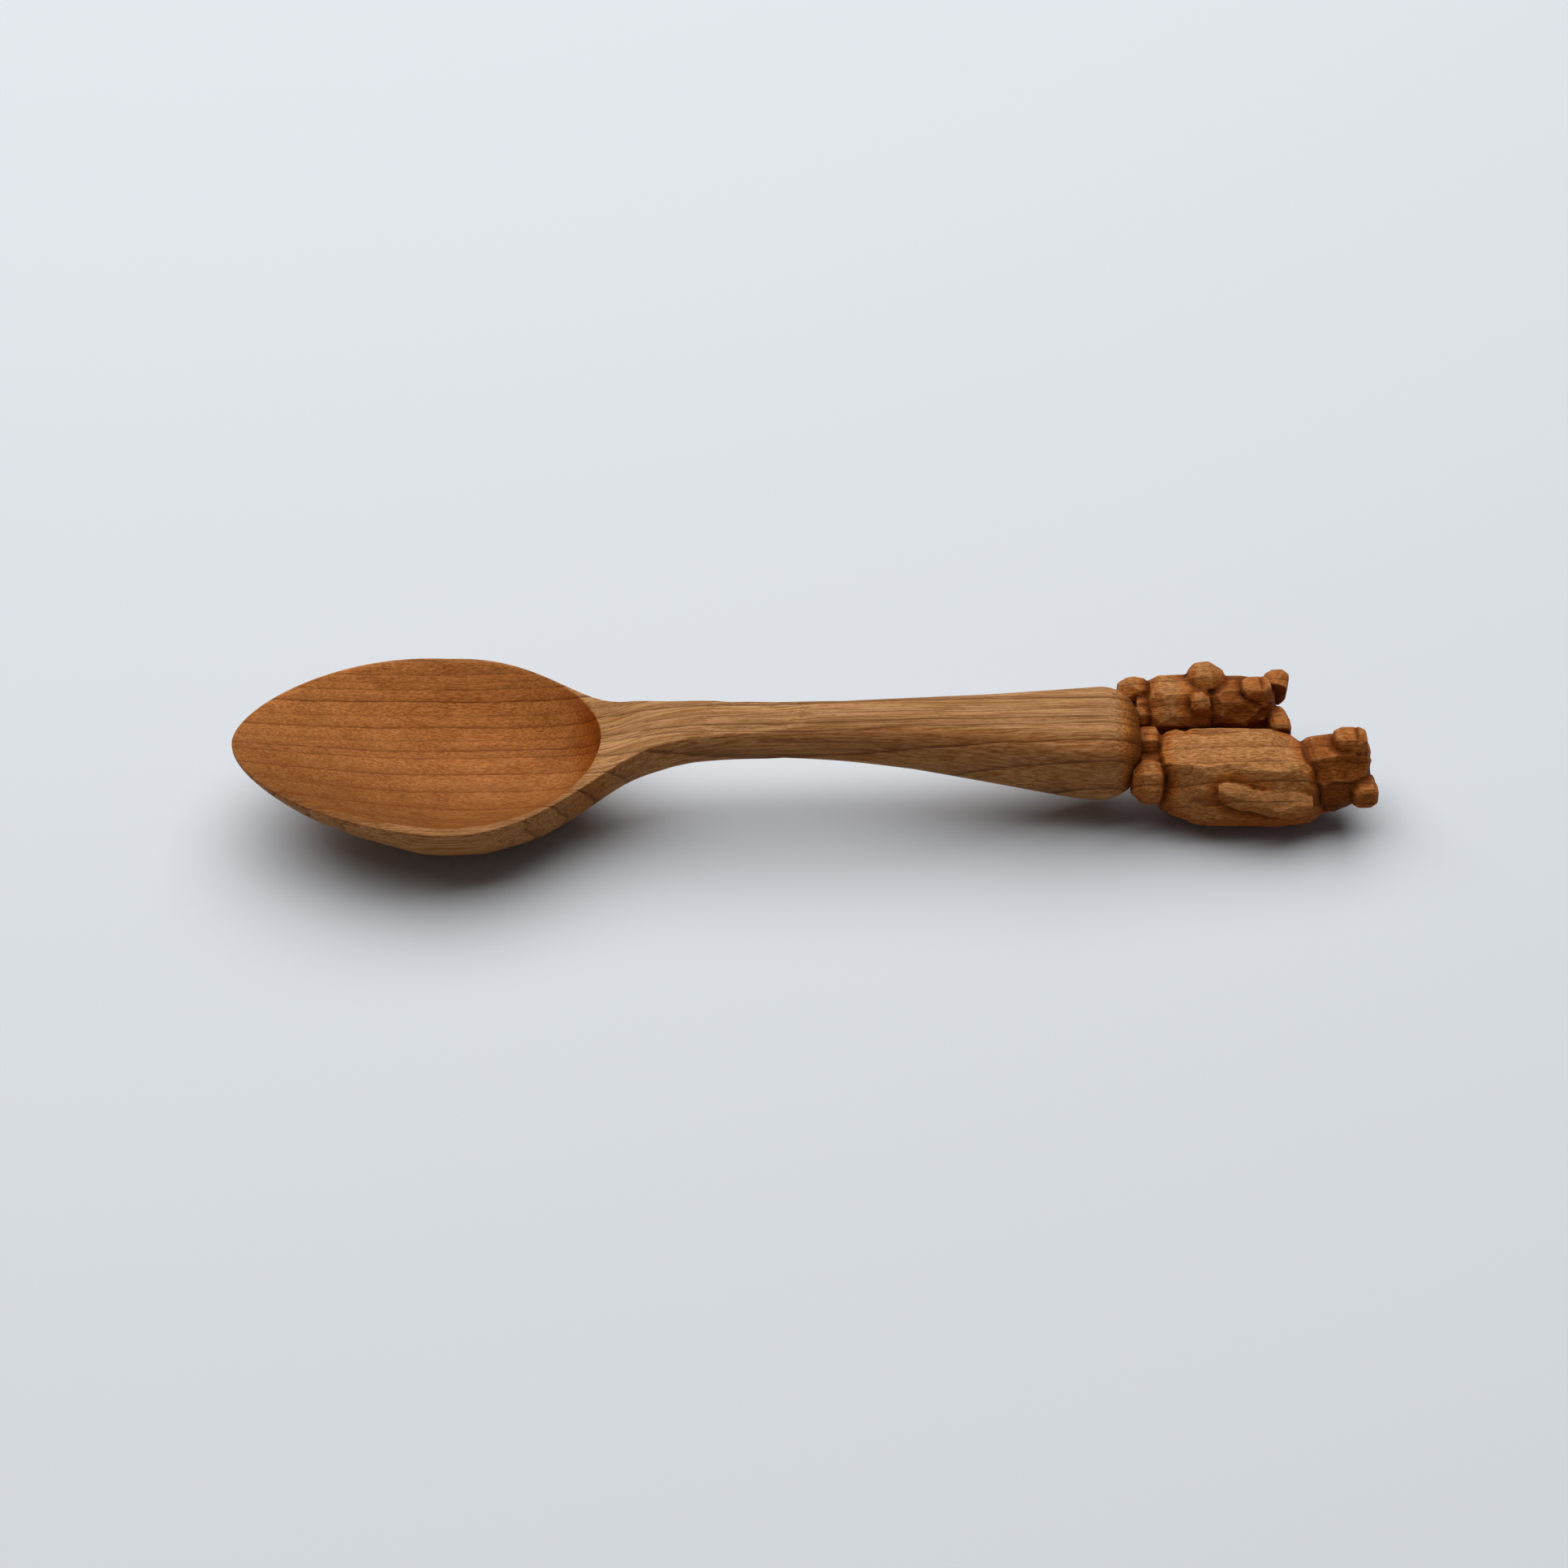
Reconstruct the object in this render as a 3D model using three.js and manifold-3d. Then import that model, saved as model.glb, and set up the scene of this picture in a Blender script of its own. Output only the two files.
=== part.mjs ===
// A spoon carved from one length of wood. The bowl is a pointed leaf, the handle is whittled to
// long flats, and a she-bear with her cub stands on the handle's end. Millimetres, +Z up.
// The spoon lies along X with the neck at x = 0, the bowl's tip towards -X and the bears towards +X.
import * as THREE from 'three';
import { mergeVertices } from 'three/addons/utils/BufferGeometryUtils.js';
import Module from 'manifold-3d';

const wasm = await Module();
wasm.setup();

// Bowl
const BOWL_LENGTH = 73.2;
const BOWL_WIDTH = 47.2;
const RIM_HEIGHT = 16.9;
const TIP_RISE = 1.9;
const TIP_THICKNESS = 1.5;
const BOWL_FOOT_LENGTH = 11;
const HOLLOW_DEPTH = 12;
const NEAR_RIM = 1.9;
const FAR_RIM = 0.9;
const HOLLOW_END = 5.2;

// Neck and handle
const NECK_WIDTH = 15.4;
const NECK_RISE = 3.2;
const NECK_DEPTH = 11.3;
const HANDLE_LENGTH = 94.6;
const HANDLE_WIDTH = 9.8;
const HANDLE_DEPTH = 10.2;
const HANDLE_TOP = 24.2;
const COLLAR_WIDTH = 19.8;
const COLLAR_DEPTH = 20;
const COLLAR_ROUND = 7;
const RIDGE_LENGTH = 26;
const FAR_PARING = 0.19;

// Mother bear
const MOTHER_WIDTH = 18.2;
const MOTHER_DEPTH = 17.6;
const MOTHER_LENGTH = 28.5;
const MOTHER_SIDE = -4.2;
const MOTHER_HEAD = 14.8;
const MOTHER_HEAD_LENGTH = 12.4;
const MOTHER_FOOT_LENGTH = 3.8;
const ARM_WIDTH = 6;
const ARM_RAISE = 1.7;

// Cub
const CUB_WIDTH = 13.2;
const CUB_DEPTH = 13;
const CUB_LENGTH = 11.5;
const CUB_SIDE = 8.1;
const CUB_HEIGHT = 14.8;
const CUB_HEAD = 12.2;
const CUB_HEAD_LENGTH = 12.6;
const CUB_FOOT_LENGTH = 2.6;

// Knife cut left open between two neighbouring forms
const CUT = 0.3;

// Reading a curve drawn with two handles: the curve's second number where its first number is x.
function drawn(x0, v0, x1, v1, x2, v2, x3, v3) {
  const bend = new THREE.CubicBezierCurve(
    new THREE.Vector2(x0, v0),
    new THREE.Vector2(x1, v1),
    new THREE.Vector2(x2, v2),
    new THREE.Vector2(x3, v3),
  );
  return (x) => {
    let low = 0;
    let high = 1;
    for (let i = 0; i < 40; i++) {
      const mid = (low + high) / 2;
      if (bend.getPoint(mid).x < x) low = mid;
      else high = mid;
    }
    return bend.getPoint((low + high) / 2).y;
  };
}

// Closed form lofted through rings that hold equal numbers of points, each ring running from +Y to +Z.
function loft(rings) {
  const sides = rings[0].length;
  const last = (rings.length - 1) * sides;
  const faces = [];
  for (let r = 0; r + 1 < rings.length; r++) {
    for (let s = 0; s < sides; s++) {
      const a = r * sides + s;
      const b = r * sides + (s + 1) % sides;
      faces.push(a, b, a + sides, b, b + sides, a + sides);
    }
  }
  for (let s = 1; s + 1 < sides; s++) {
    faces.push(0, s + 1, s);
    faces.push(last, last + s, last + s + 1);
  }
  const geometry = new THREE.BufferGeometry().setFromPoints(rings.flat());
  geometry.setIndex(faces);
  return geometry;
}

function solid(geometry) {
  const clean = geometry.clone();
  clean.deleteAttribute('normal');
  clean.deleteAttribute('uv');
  const merged = mergeVertices(clean, 1e-4);
  return new wasm.Manifold(new wasm.Mesh({
    numProp: 3,
    vertProperties: new Float32Array(merged.attributes.position.array),
    triVerts: new Uint32Array(merged.index.array),
  }));
}

function geometryOf(shape) {
  const mesh = shape.getMesh();
  const geometry = new THREE.BufferGeometry();
  geometry.setAttribute('position', new THREE.BufferAttribute(new Float32Array(mesh.vertProperties), 3));
  geometry.setIndex(new THREE.BufferAttribute(new Uint32Array(mesh.triVerts), 1));
  return geometry;
}

// Wood of each region: heartwood brown in the bowl and the bears, paler on the handle's flats.
const group = new THREE.Group();
group.name = 'carved_spoon';
function add(name, geometry, colour, roughness) {
  const material = new THREE.MeshStandardMaterial({ color: colour, roughness, metalness: 0 });
  material.name = name;
  const mesh = new THREE.Mesh(geometry, material);
  mesh.name = name;
  group.add(mesh);
}

// Outline of the blank seen from above, and its top and underside seen from the side.
const TIP = -BOWL_LENGTH;
const WIDEST = TIP * 0.455;
const FOOT_START = WIDEST * 0.97;
const FOOT_END = FOOT_START + BOWL_FOOT_LENGTH;
const NECK_TOP = RIM_HEIGHT + NECK_RISE;
const NECK_BOTTOM = NECK_TOP - NECK_DEPTH;
const SLIM = HANDLE_LENGTH * 0.3;
const FULL = HANDLE_LENGTH - COLLAR_ROUND;
const HANDLE_BOTTOM = HANDLE_TOP - HANDLE_DEPTH;
const COLLAR_BOTTOM = HANDLE_TOP - COLLAR_DEPTH;
const COLLAR_MIDDLE = HANDLE_TOP - COLLAR_DEPTH / 2;

const tipOutline = drawn(TIP, 0, TIP, BOWL_WIDTH * 0.2, TIP * 0.76, BOWL_WIDTH / 2, WIDEST, BOWL_WIDTH / 2);
const neckOutline = drawn(
  WIDEST, BOWL_WIDTH / 2, WIDEST * 0.5, BOWL_WIDTH / 2, WIDEST * 0.29, NECK_WIDTH * 0.68, 0, NECK_WIDTH / 2);
const rimLine = drawn(
  TIP, RIM_HEIGHT + TIP_RISE, TIP * 0.62, RIM_HEIGHT + TIP_RISE, TIP * 0.5, RIM_HEIGHT, WIDEST, RIM_HEIGHT);
const neckLine = drawn(
  WIDEST, RIM_HEIGHT, WIDEST * 0.3, RIM_HEIGHT, WIDEST * 0.2, RIM_HEIGHT, 0, NECK_TOP);
const tipKeel = drawn(
  TIP, RIM_HEIGHT + TIP_RISE - TIP_THICKNESS, TIP * 0.93, RIM_HEIGHT * 0.917,
  TIP * 0.64, RIM_HEIGHT * 0.035, FOOT_START, 0);
const neckKeel = drawn(
  FOOT_END, 0, FOOT_END * 0.66, 0, FOOT_END * 0.36, NECK_BOTTOM * 0.5, 0, NECK_BOTTOM);

const bowlTop = (x) => (x < WIDEST ? rimLine(x) : neckLine(x));
const bowlSide = (x) => (x < WIDEST ? tipOutline(x) : neckOutline(x));
function bowlKeel(x) {
  if (x < FOOT_START) return tipKeel(x);
  if (x > FOOT_END) return neckKeel(x);
  return 0;
}

const slimSide = drawn(
  0, NECK_WIDTH / 2, SLIM * 0.22, NECK_WIDTH * 0.39, SLIM * 0.5, HANDLE_WIDTH / 2, SLIM, HANDLE_WIDTH / 2);
const flareSide = drawn(
  SLIM, HANDLE_WIDTH / 2, FULL * 0.62, HANDLE_WIDTH / 2, FULL * 0.73, COLLAR_WIDTH * 0.36,
  FULL, COLLAR_WIDTH / 2);
const slimTop = drawn(
  0, NECK_TOP, SLIM * 0.2, NECK_TOP + NECK_DEPTH * 0.25, SLIM * 0.5, HANDLE_TOP, SLIM, HANDLE_TOP);
const slimKeel = drawn(
  0, NECK_BOTTOM, SLIM * 0.28, HANDLE_BOTTOM * 0.943, SLIM * 0.5, HANDLE_BOTTOM * 1.014, SLIM, HANDLE_BOTTOM);
const flareKeel = drawn(
  SLIM, HANDLE_BOTTOM, FULL * 0.5, HANDLE_BOTTOM, FULL * 0.74, COLLAR_BOTTOM + COLLAR_DEPTH * 0.2,
  FULL, COLLAR_BOTTOM);

// One section across the blank. The upper half is flat on the bowl and rises to a crown on the handle.
// A flat lies at the very bottom of each section, so that the bowl can rest on it.
const SECTION_SIDES = 24;
const SECTION_REACH = Math.cos(Math.PI / SECTION_SIDES);
function section(x, half, waist, up, down, upSquare, downSquare, far = 1) {
  const ring = [];
  for (let s = 0; s < SECTION_SIDES; s++) {
    const turn = (2 * Math.PI * (s + 0.5)) / SECTION_SIDES;
    const c = Math.cos(turn) / SECTION_REACH;
    const k = Math.sin(turn) / SECTION_REACH;
    const square = k > 0 ? upSquare : downSquare;
    const side = c > 0 ? half * far : -half;
    const y = side * Math.abs(c) ** (2 / square);
    const z = (k > 0 ? up : down) * Math.sign(k) * Math.abs(k) ** (2 / square);
    ring.push(new THREE.Vector3(x, y, waist + z));
  }
  return ring;
}

// Waist line of the section: at the rim on the bowl, sinking to the middle of the handle. The edge of the
// bowl's flat top runs on as a ridge along the neck and dies away there; its far side is pared in more.
const HANDLE_SQUARE = 2.45;
function neckSection(x, half, top, keel) {
  const blend = THREE.MathUtils.smoothstep(x, 0, RIDGE_LENGTH);
  const paringStarts = THREE.MathUtils.smoothstep(x, -0.1 * RIDGE_LENGTH, 0.35 * RIDGE_LENGTH);
  const paringEnds = THREE.MathUtils.smoothstep(x, 0.55 * RIDGE_LENGTH, RIDGE_LENGTH);
  const far = 1 - FAR_PARING * paringStarts * (1 - paringEnds);
  const crown = (top - keel) * 0.5 * blend;
  const upSquare = 5 + (HANDLE_SQUARE - 5) * blend;
  const downSquare = 2.05 + (HANDLE_SQUARE - 2.05) * blend;
  return section(x, half, top - crown, crown, top - crown - keel, upSquare, downSquare, far);
}

// Bowl: the blank from the tip to the neck, with the hollow cut down into it.
const bowlRings = [];
const BOWL_STEPS = 34;
for (let i = 0; i <= BOWL_STEPS; i++) {
  const t = i / BOWL_STEPS;
  const x = TIP * (0.9995 - 0.9995 * t ** 1.35);
  bowlRings.push(neckSection(x, bowlSide(x), bowlTop(x), bowlKeel(x)));
}

const HOLLOW_TIP = TIP + NEAR_RIM;
const DEEPEST = WIDEST * 0.82;
const tipDepth = drawn(
  HOLLOW_TIP, 0, TIP * 0.85, HOLLOW_DEPTH * 0.25, TIP * 0.6, HOLLOW_DEPTH, DEEPEST, HOLLOW_DEPTH);
const neckDepth = drawn(
  DEEPEST, HOLLOW_DEPTH, DEEPEST * 0.5, HOLLOW_DEPTH, -HOLLOW_END, HOLLOW_DEPTH * 0.75, -HOLLOW_END, 0);
const hollowReach = WIDEST + HOLLOW_END;
function hollowSide(x, rim) {
  const widest = BOWL_WIDTH / 2 - rim;
  if (x > WIDEST) {
    const along = (x - WIDEST) / -hollowReach;
    return widest * Math.sqrt(1 - along * along);
  }
  const along = TIP + ((x - HOLLOW_TIP) * (WIDEST - TIP)) / (WIDEST - HOLLOW_TIP);
  return (tipOutline(along) * widest) / (BOWL_WIDTH / 2);
}

const HOLLOW_STEPS = 30;
const HOLLOW_SIDES = 20;
const hollowRings = [];
for (let i = 0; i <= HOLLOW_STEPS; i++) {
  const along = 0.5 - 0.5 * Math.cos((Math.PI * (i + 0.15)) / (HOLLOW_STEPS + 0.3));
  const x = HOLLOW_TIP + (-HOLLOW_END - HOLLOW_TIP) * along;
  const near = hollowSide(x, NEAR_RIM);
  const far = hollowSide(x, FAR_RIM);
  const depth = x < DEEPEST ? tipDepth(x) : neckDepth(x);
  const rim = bowlTop(x);
  const ring = [];
  for (let s = 0; s <= HOLLOW_SIDES; s++) {
    const turn = Math.PI + (Math.PI * s) / HOLLOW_SIDES;
    const across = Math.cos(turn);
    ring.push(new THREE.Vector3(x, across * (across > 0 ? far : near), rim - depth * Math.sin(turn) ** 2));
  }
  ring.push(new THREE.Vector3(x, far, rim + RIM_HEIGHT / 2));
  ring.push(new THREE.Vector3(x, -near, rim + RIM_HEIGHT / 2));
  hollowRings.push(ring);
}
const bowl = solid(loft(bowlRings)).subtract(solid(loft(hollowRings)));
add('bowl', geometryOf(bowl), 0xa8692f, 0.5);

// Handle: the same blank from the neck on, flaring to a collar whose end is rounded over.
function handleForm(grow) {
  const rings = [];
  const steps = 22;
  for (let i = 0; i <= steps; i++) {
    const x = (FULL * i) / steps;
    const half = x < SLIM ? slimSide(x) : flareSide(x);
    const top = x < SLIM ? slimTop(x) : HANDLE_TOP;
    const keel = x < SLIM ? slimKeel(x) : flareKeel(x);
    rings.push(neckSection(x, half + grow, top + grow, keel - grow));
  }
  const round = 6;
  for (let i = 1; i <= round; i++) {
    const turn = (0.44 * Math.PI * i) / round;
    const shrink = 0.42 + 0.58 * Math.cos(turn);
    const x = FULL + ((COLLAR_ROUND + grow) * Math.sin(turn)) / Math.sin(0.44 * Math.PI);
    const half = shrink * (COLLAR_WIDTH / 2 + grow);
    const rise = shrink * (COLLAR_DEPTH / 2 + grow);
    rings.push(section(x, half, COLLAR_MIDDLE, rise, rise, HANDLE_SQUARE, HANDLE_SQUARE));
  }
  return loft(rings);
}
add('handle', handleForm(0), 0x9a6a3e, 0.55);

// Whittled forms. Each is a row of stops along its own line: the place along the line, the two offsets
// of its middle, its two half sizes and how far the stop leans. The corners of a stop are given against
// its half sizes, going round from the first offset to the second. A knife flat runs between every two.
const ALONG_X = (a, b, c) => new THREE.Vector3(a, b, c);
const ALONG_Y = (a, b, c) => new THREE.Vector3(c, a, b);
const ALONG_Z = (a, b, c) => new THREE.Vector3(b, c, a);
function whittled(line, corners, stops, grow) {
  const rings = stops.map(([at, u, v, halfU, halfV, lean = 0], i) => {
    const end = i === 0 ? -grow : (i === stops.length - 1 ? grow : 0);
    return corners.map(([cornerU, cornerV]) => {
      const du = cornerU * (halfU + grow);
      const dv = cornerV * (halfV + grow);
      return line(at + end - lean * (du + dv), u + du, v + dv);
    });
  });
  return solid(loft(rings));
}

// Flats of a bear lying on its back: the belly up, the back down, the near side cut in three.
const BEAR = [
  [1, 0.02], [0.79, 0.61], [0.46, 1], [-0.62, 1], [-0.88, 0.5],
  [-1, -0.2], [-0.88, -0.55], [-0.42, -1], [0.57, -1], [0.92, -0.55],
];

// Flats of a blunt knob, such as a foot, and of a squared block, such as a muzzle.
const KNOB = [
  [1, 0.2], [0.72, 0.78], [0.15, 1], [-0.6, 0.86],
  [-1, 0.25], [-0.86, -0.5], [-0.3, -1], [0.6, -0.85],
];
const BLOCK = [
  [1, 0.55], [0.6, 1], [-0.55, 1], [-1, 0.6],
  [-1, -0.6], [-0.6, -1], [0.55, -1], [1, -0.55],
];

// Flat that the mother's back is pared to, so that the spoon lies still.
const PARING = 4 * HANDLE_LENGTH;
const paring = new THREE.BoxGeometry(PARING, PARING, COLLAR_DEPTH);
paring.translate(0, 0, -COLLAR_DEPTH / 2);
const underTable = solid(paring);

// Where the figures stand: a core of wood on the rounded end, with the feet on it, then the legs.
const CORE = HANDLE_LENGTH + CUT;
const KNEE = HANDLE_LENGTH + MOTHER_FOOT_LENGTH;
const LEG = KNEE + CUT;
const CUB_KNEE = HANDLE_LENGTH + CUB_FOOT_LENGTH;
const CUB_LEG = CUB_KNEE + CUT;

// Mother's body: lying on the table, her thighs tapering to the feet and her neck to the head.
const MW = MOTHER_WIDTH / 2;
const MD = MOTHER_DEPTH / 2;
const MY = MOTHER_SIDE;
const MX = (part) => LEG + MOTHER_LENGTH * part;
const motherStop = (x, across, up, size, lean) => [
  x, MY + MW * across, MD * up, MW * size, MD * size, lean];
const motherBody = (grow) => whittled(ALONG_X, BEAR, [
  motherStop(CORE, 0.12, 1.2, 0.46),
  motherStop(LEG - CUT * 2, 0.12, 1.2, 0.5),
  motherStop(LEG, 0.07, 1.12, 0.74),
  motherStop(MX(0.06), 0.06, 1.11, 0.85),
  motherStop(MX(0.11), 0.05, 1.09, 0.9),
  motherStop(MX(0.165), 0.02, 1.04, 0.91),
  motherStop(MX(0.2), 0.02, 1.02, 0.965),
  motherStop(MX(0.3), 0.01, 1, 1),
  motherStop(MX(0.48), 0, 1, 1),
  motherStop(MX(0.74), -0.05, 1, 1, 0.06),
  motherStop(MX(0.92), -0.07, 0.98, 0.9, 0.14),
  motherStop(MX(1), -0.07, 0.98, 0.7, 0.2),
], grow);
add('mother_body', geometryOf(motherBody(0).subtract(underTable)), 0x8f5a2b, 0.55);

// Mother's head: set on the neck with a cut round it, widest behind the cheeks.
const HX = (part) => MX(0.93) + MOTHER_HEAD_LENGTH * part;
const HR = MOTHER_HEAD / 2;
const HY = MY - MW * 0.07;
const HZ = MD * 1.12;
const HEAD = [
  [1, 0.05], [0.76, 0.66], [0.42, 1], [-0.4, 1], [-0.84, 0.52],
  [-1, -0.14], [-0.8, -0.66], [-0.3, -1], [0.5, -1], [0.9, -0.5],
];
const headStop = (x, across, up, size, lean) => [
  x, HY + HR * across, HZ + HR * up, HR * size, HR * size, lean];
const motherHead = (grow) => whittled(ALONG_X, HEAD, [
  headStop(HX(0), 0, -0.06, 0.76, 0.2),
  headStop(HX(0.2), 0, -0.02, 0.95, 0.12),
  headStop(HX(0.45), 0.02, 0.03, 0.97, 0.05),
  headStop(HX(0.72), 0.04, 0.08, 0.87),
  headStop(HX(0.92), 0.02, 0.1, 0.7),
  headStop(HX(1), 0.02, 0.1, 0.52),
], grow);
add('mother_head', geometryOf(motherHead(0).subtract(motherBody(CUT))), 0x8f5a2b, 0.55);

// Muzzle: a squared block on the upturned face, with a notch cut across it behind the nose.
function muzzle(x, y, face, top, size, grow) {
  const rise = top - face;
  const wedge = new THREE.CylinderGeometry(size * 0.3, size * 0.3, size * 4, 4);
  wedge.scale(0.5, 1, 1);
  wedge.translate(x + size * 0.36, y, top);
  return whittled(ALONG_Z, BLOCK, [
    [face, x - size * 0.14, y, size * 1.3, size * 1.2],
    [face + rise * 0.55, x, y, size * 1.1, size * 0.92],
    [top - rise * 0.1, x, y, size, size * 0.78],
    [top, x, y, size * 0.88, size * 0.62],
  ], grow).subtract(solid(wedge));
}
const motherMuzzle = muzzle(HX(0.66), HY + HR * 0.1, HZ + HR * 0.5, HZ + HR * 1.32, MOTHER_HEAD * 0.2, 0);
add('mother_muzzle', geometryOf(motherMuzzle.subtract(motherHead(CUT))), 0x9a6231, 0.55);

// Ears: squared blocks standing out sideways at the two corners of the crown, the near one larger.
function ear(x, y, z, reach, size) {
  const stops = [
    [y, z, x - size * 0.5, size * 1.1, size],
    [y + reach * 0.55, z, x - size * 0.12, size * 1.04, size * 0.98],
    [y + reach * 0.9, z, x, size * 0.92, size * 0.88],
    [y + reach, z, x, size * 0.68, size * 0.64],
  ];
  return whittled(ALONG_Y, BLOCK, reach > 0 ? stops : stops.reverse(), 0);
}
const motherCrown = motherHead(CUT);
const nearEar = ear(HX(0.88), HY - HR * 0.1, HZ + HR * 0.03, -HR * 0.9, HR * 0.36);
const farEar = ear(HX(0.92), HY + HR * 0.1, HZ + HR * 0.03, HR * 0.86, HR * 0.3);
add('mother_near_ear', geometryOf(nearEar.subtract(motherCrown)), 0x8a5628, 0.55);
add('mother_far_ear', geometryOf(farEar.subtract(motherCrown)), 0x8a5628, 0.55);

// Near arm: held along the side, a broad leaf with a lit upper flat, ending in a paw on the belly.
const armLine = new THREE.QuadraticBezierCurve3(
  new THREE.Vector3(MX(0.34), MY - MW * 0.89, MD * 1.5),
  new THREE.Vector3(MX(0.7), MY - MW * 1.01, MD * 1.18),
  new THREE.Vector3(MX(0.96), MY - MW * 0.96, MD * 1.17),
);
const ARM_FLATS = [[-1, -0.3], [-0.75, 0.35], [-0.15, 1], [0.45, 0.8], [1, -0.1], [0.2, -1]];
const ARM_STOPS = [
  [0, 0.45, 0.5], [0.08, 0.8, 0.9], [0.2, 0.9, 0.95], [0.32, 0.8, 0.8],
  [0.5, 0.96, 0.95], [0.74, 1, 1], [0.9, 0.8, 0.85], [1, 0.45, 0.5],
];
const ARM_TILT = Math.atan2(0.95, 0.31);
const armRings = ARM_STOPS.map(([along, wide, raise]) => {
  const middle = armLine.getPoint(along);
  return ARM_FLATS.map(([down, out]) => {
    const fall = (down * wide * ARM_WIDTH) / 2;
    const stand = out * raise * ARM_RAISE;
    const y = middle.y - fall * Math.cos(ARM_TILT) - stand * Math.sin(ARM_TILT);
    const z = middle.z - fall * Math.sin(ARM_TILT) + stand * Math.cos(ARM_TILT);
    return new THREE.Vector3(middle.x, y, z);
  });
});
const motherArm = solid(loft(armRings)).subtract(motherBody(CUT)).subtract(motherHead(CUT));
add('mother_near_arm', geometryOf(motherArm), 0x8f5a2b, 0.55);

// Cub's body, set higher and leaning against the mother, with the mother's form cut out of it.
const CW = CUB_WIDTH / 2;
const CD = CUB_DEPTH / 2;
const CY = CUB_SIDE;
const CZ = CUB_HEIGHT;
const CX = (part) => CUB_LEG + CUB_LENGTH * part;
const legs = motherBody(CUT);
const cubStop = (x, across, up, size) => [x, CY + CW * across, CZ + CD * up, CW * size, CD * size];
const cubBody = (grow) => whittled(ALONG_X, HEAD, [
  cubStop(CORE, 0, 0, 0.5),
  cubStop(CUB_LEG - CUT * 2, 0, 0, 0.52),
  cubStop(CUB_LEG, 0, 0, 0.84),
  cubStop(CX(0.14), 0, 0, 0.97),
  cubStop(CX(0.6), 0, 0, 1),
  cubStop(CX(0.88), 0, 0, 0.93),
  cubStop(CX(1), 0, 0, 0.72),
], grow);
add('cub_body', geometryOf(cubBody(0).subtract(legs)), 0x8f5a2b, 0.55);

// Feet: four rounded knobs in a row on the end of the handle, their soles shaped to it.
const collar = solid(handleForm(CUT));
function foot(knee, y, z, half, tall, long) {
  const rise = tall * 0.08;
  return whittled(ALONG_X, KNOB, [
    [knee - long * 1.45, y + rise, z + rise, half * 0.62, tall * 0.62],
    [knee - long * 0.95, y + rise * 0.3, z + rise * 0.3, half * 0.92, tall * 0.92],
    [knee - long * 0.48, y, z, half, tall],
    [knee - long * 0.15, y, z, half * 0.95, tall * 0.95],
    [knee, y, z, half * 0.74, tall * 0.74],
  ], 0).subtract(collar);
}
const motherNearFoot = foot(KNEE, MY - MW * 0.47, MD * 1.35, MW * 0.37, MD * 0.55, MOTHER_FOOT_LENGTH);
const motherFarFoot = foot(KNEE, MY + MW * 0.38, MD * 1.63, MW * 0.33, MD * 0.38, MOTHER_FOOT_LENGTH);
add('mother_near_foot', geometryOf(motherNearFoot.subtract(legs)), 0x8a5628, 0.55);
add('mother_far_foot', geometryOf(motherFarFoot.subtract(legs).subtract(cubBody(CUT))), 0x8a5628, 0.55);
const cubNearFoot = foot(CUB_KNEE, CY - CW * 0.44, CZ + CD * 0.06, CW * 0.32, CD * 0.43, CUB_FOOT_LENGTH);
const cubFarFoot = foot(
  CUB_KNEE, CY + CW * 0.38, CZ + CD * 0.28, CW * 0.44, CD * 0.5, CUB_FOOT_LENGTH * 1.45);
add('cub_near_foot', geometryOf(cubNearFoot.subtract(cubBody(CUT)).subtract(legs)), 0x8a5628, 0.55);
add('cub_far_foot', geometryOf(cubFarFoot.subtract(cubBody(CUT))), 0x8a5628, 0.55);

// Cub's head, muzzle and ears, made as the mother's.
const KX = (part) => CX(0.94) + CUB_HEAD_LENGTH * part;
const KR = CUB_HEAD / 2;
const KZ = CZ;
const cubHeadStop = (x, size) => [x, CY, KZ, KR * size, KR * size];
const cubHead = (grow) => whittled(ALONG_X, HEAD, [
  cubHeadStop(KX(0), 0.78),
  cubHeadStop(KX(0.18), 0.98),
  cubHeadStop(KX(0.5), 1),
  cubHeadStop(KX(0.78), 0.88),
  cubHeadStop(KX(0.94), 0.68),
  cubHeadStop(KX(1), 0.5),
], grow);
const cubHeadShape = cubHead(0).subtract(cubBody(CUT)).subtract(legs);
add('cub_head', geometryOf(cubHeadShape), 0x8f5a2b, 0.55);

const cubNose = CUB_HEAD * 0.22;
const cubMuzzle = (grow) => muzzle(
  KX(0.69), CY - KR * 0.13, KZ + KR * 0.5, KZ + KR * 1.2, cubNose, grow);
add('cub_muzzle', geometryOf(cubMuzzle(0).subtract(cubHead(CUT))), 0x9a6231, 0.55);

const cubCrown = cubHead(CUT);
const cubNearEar = ear(KX(1.06), CY - KR * 0.3, KZ + KR * 0.02, -KR * 0.86, KR * 0.33);
const cubFarEar = ear(KX(1.08), CY + KR * 0.2, KZ + KR * 0.36, KR * 0.8, KR * 0.43);
add('cub_near_ear', geometryOf(cubNearEar.subtract(cubCrown).subtract(legs)), 0x8a5628, 0.55);
add('cub_far_ear', geometryOf(cubFarEar.subtract(cubCrown).subtract(cubMuzzle(CUT))), 0x8a5628, 0.55);

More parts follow.
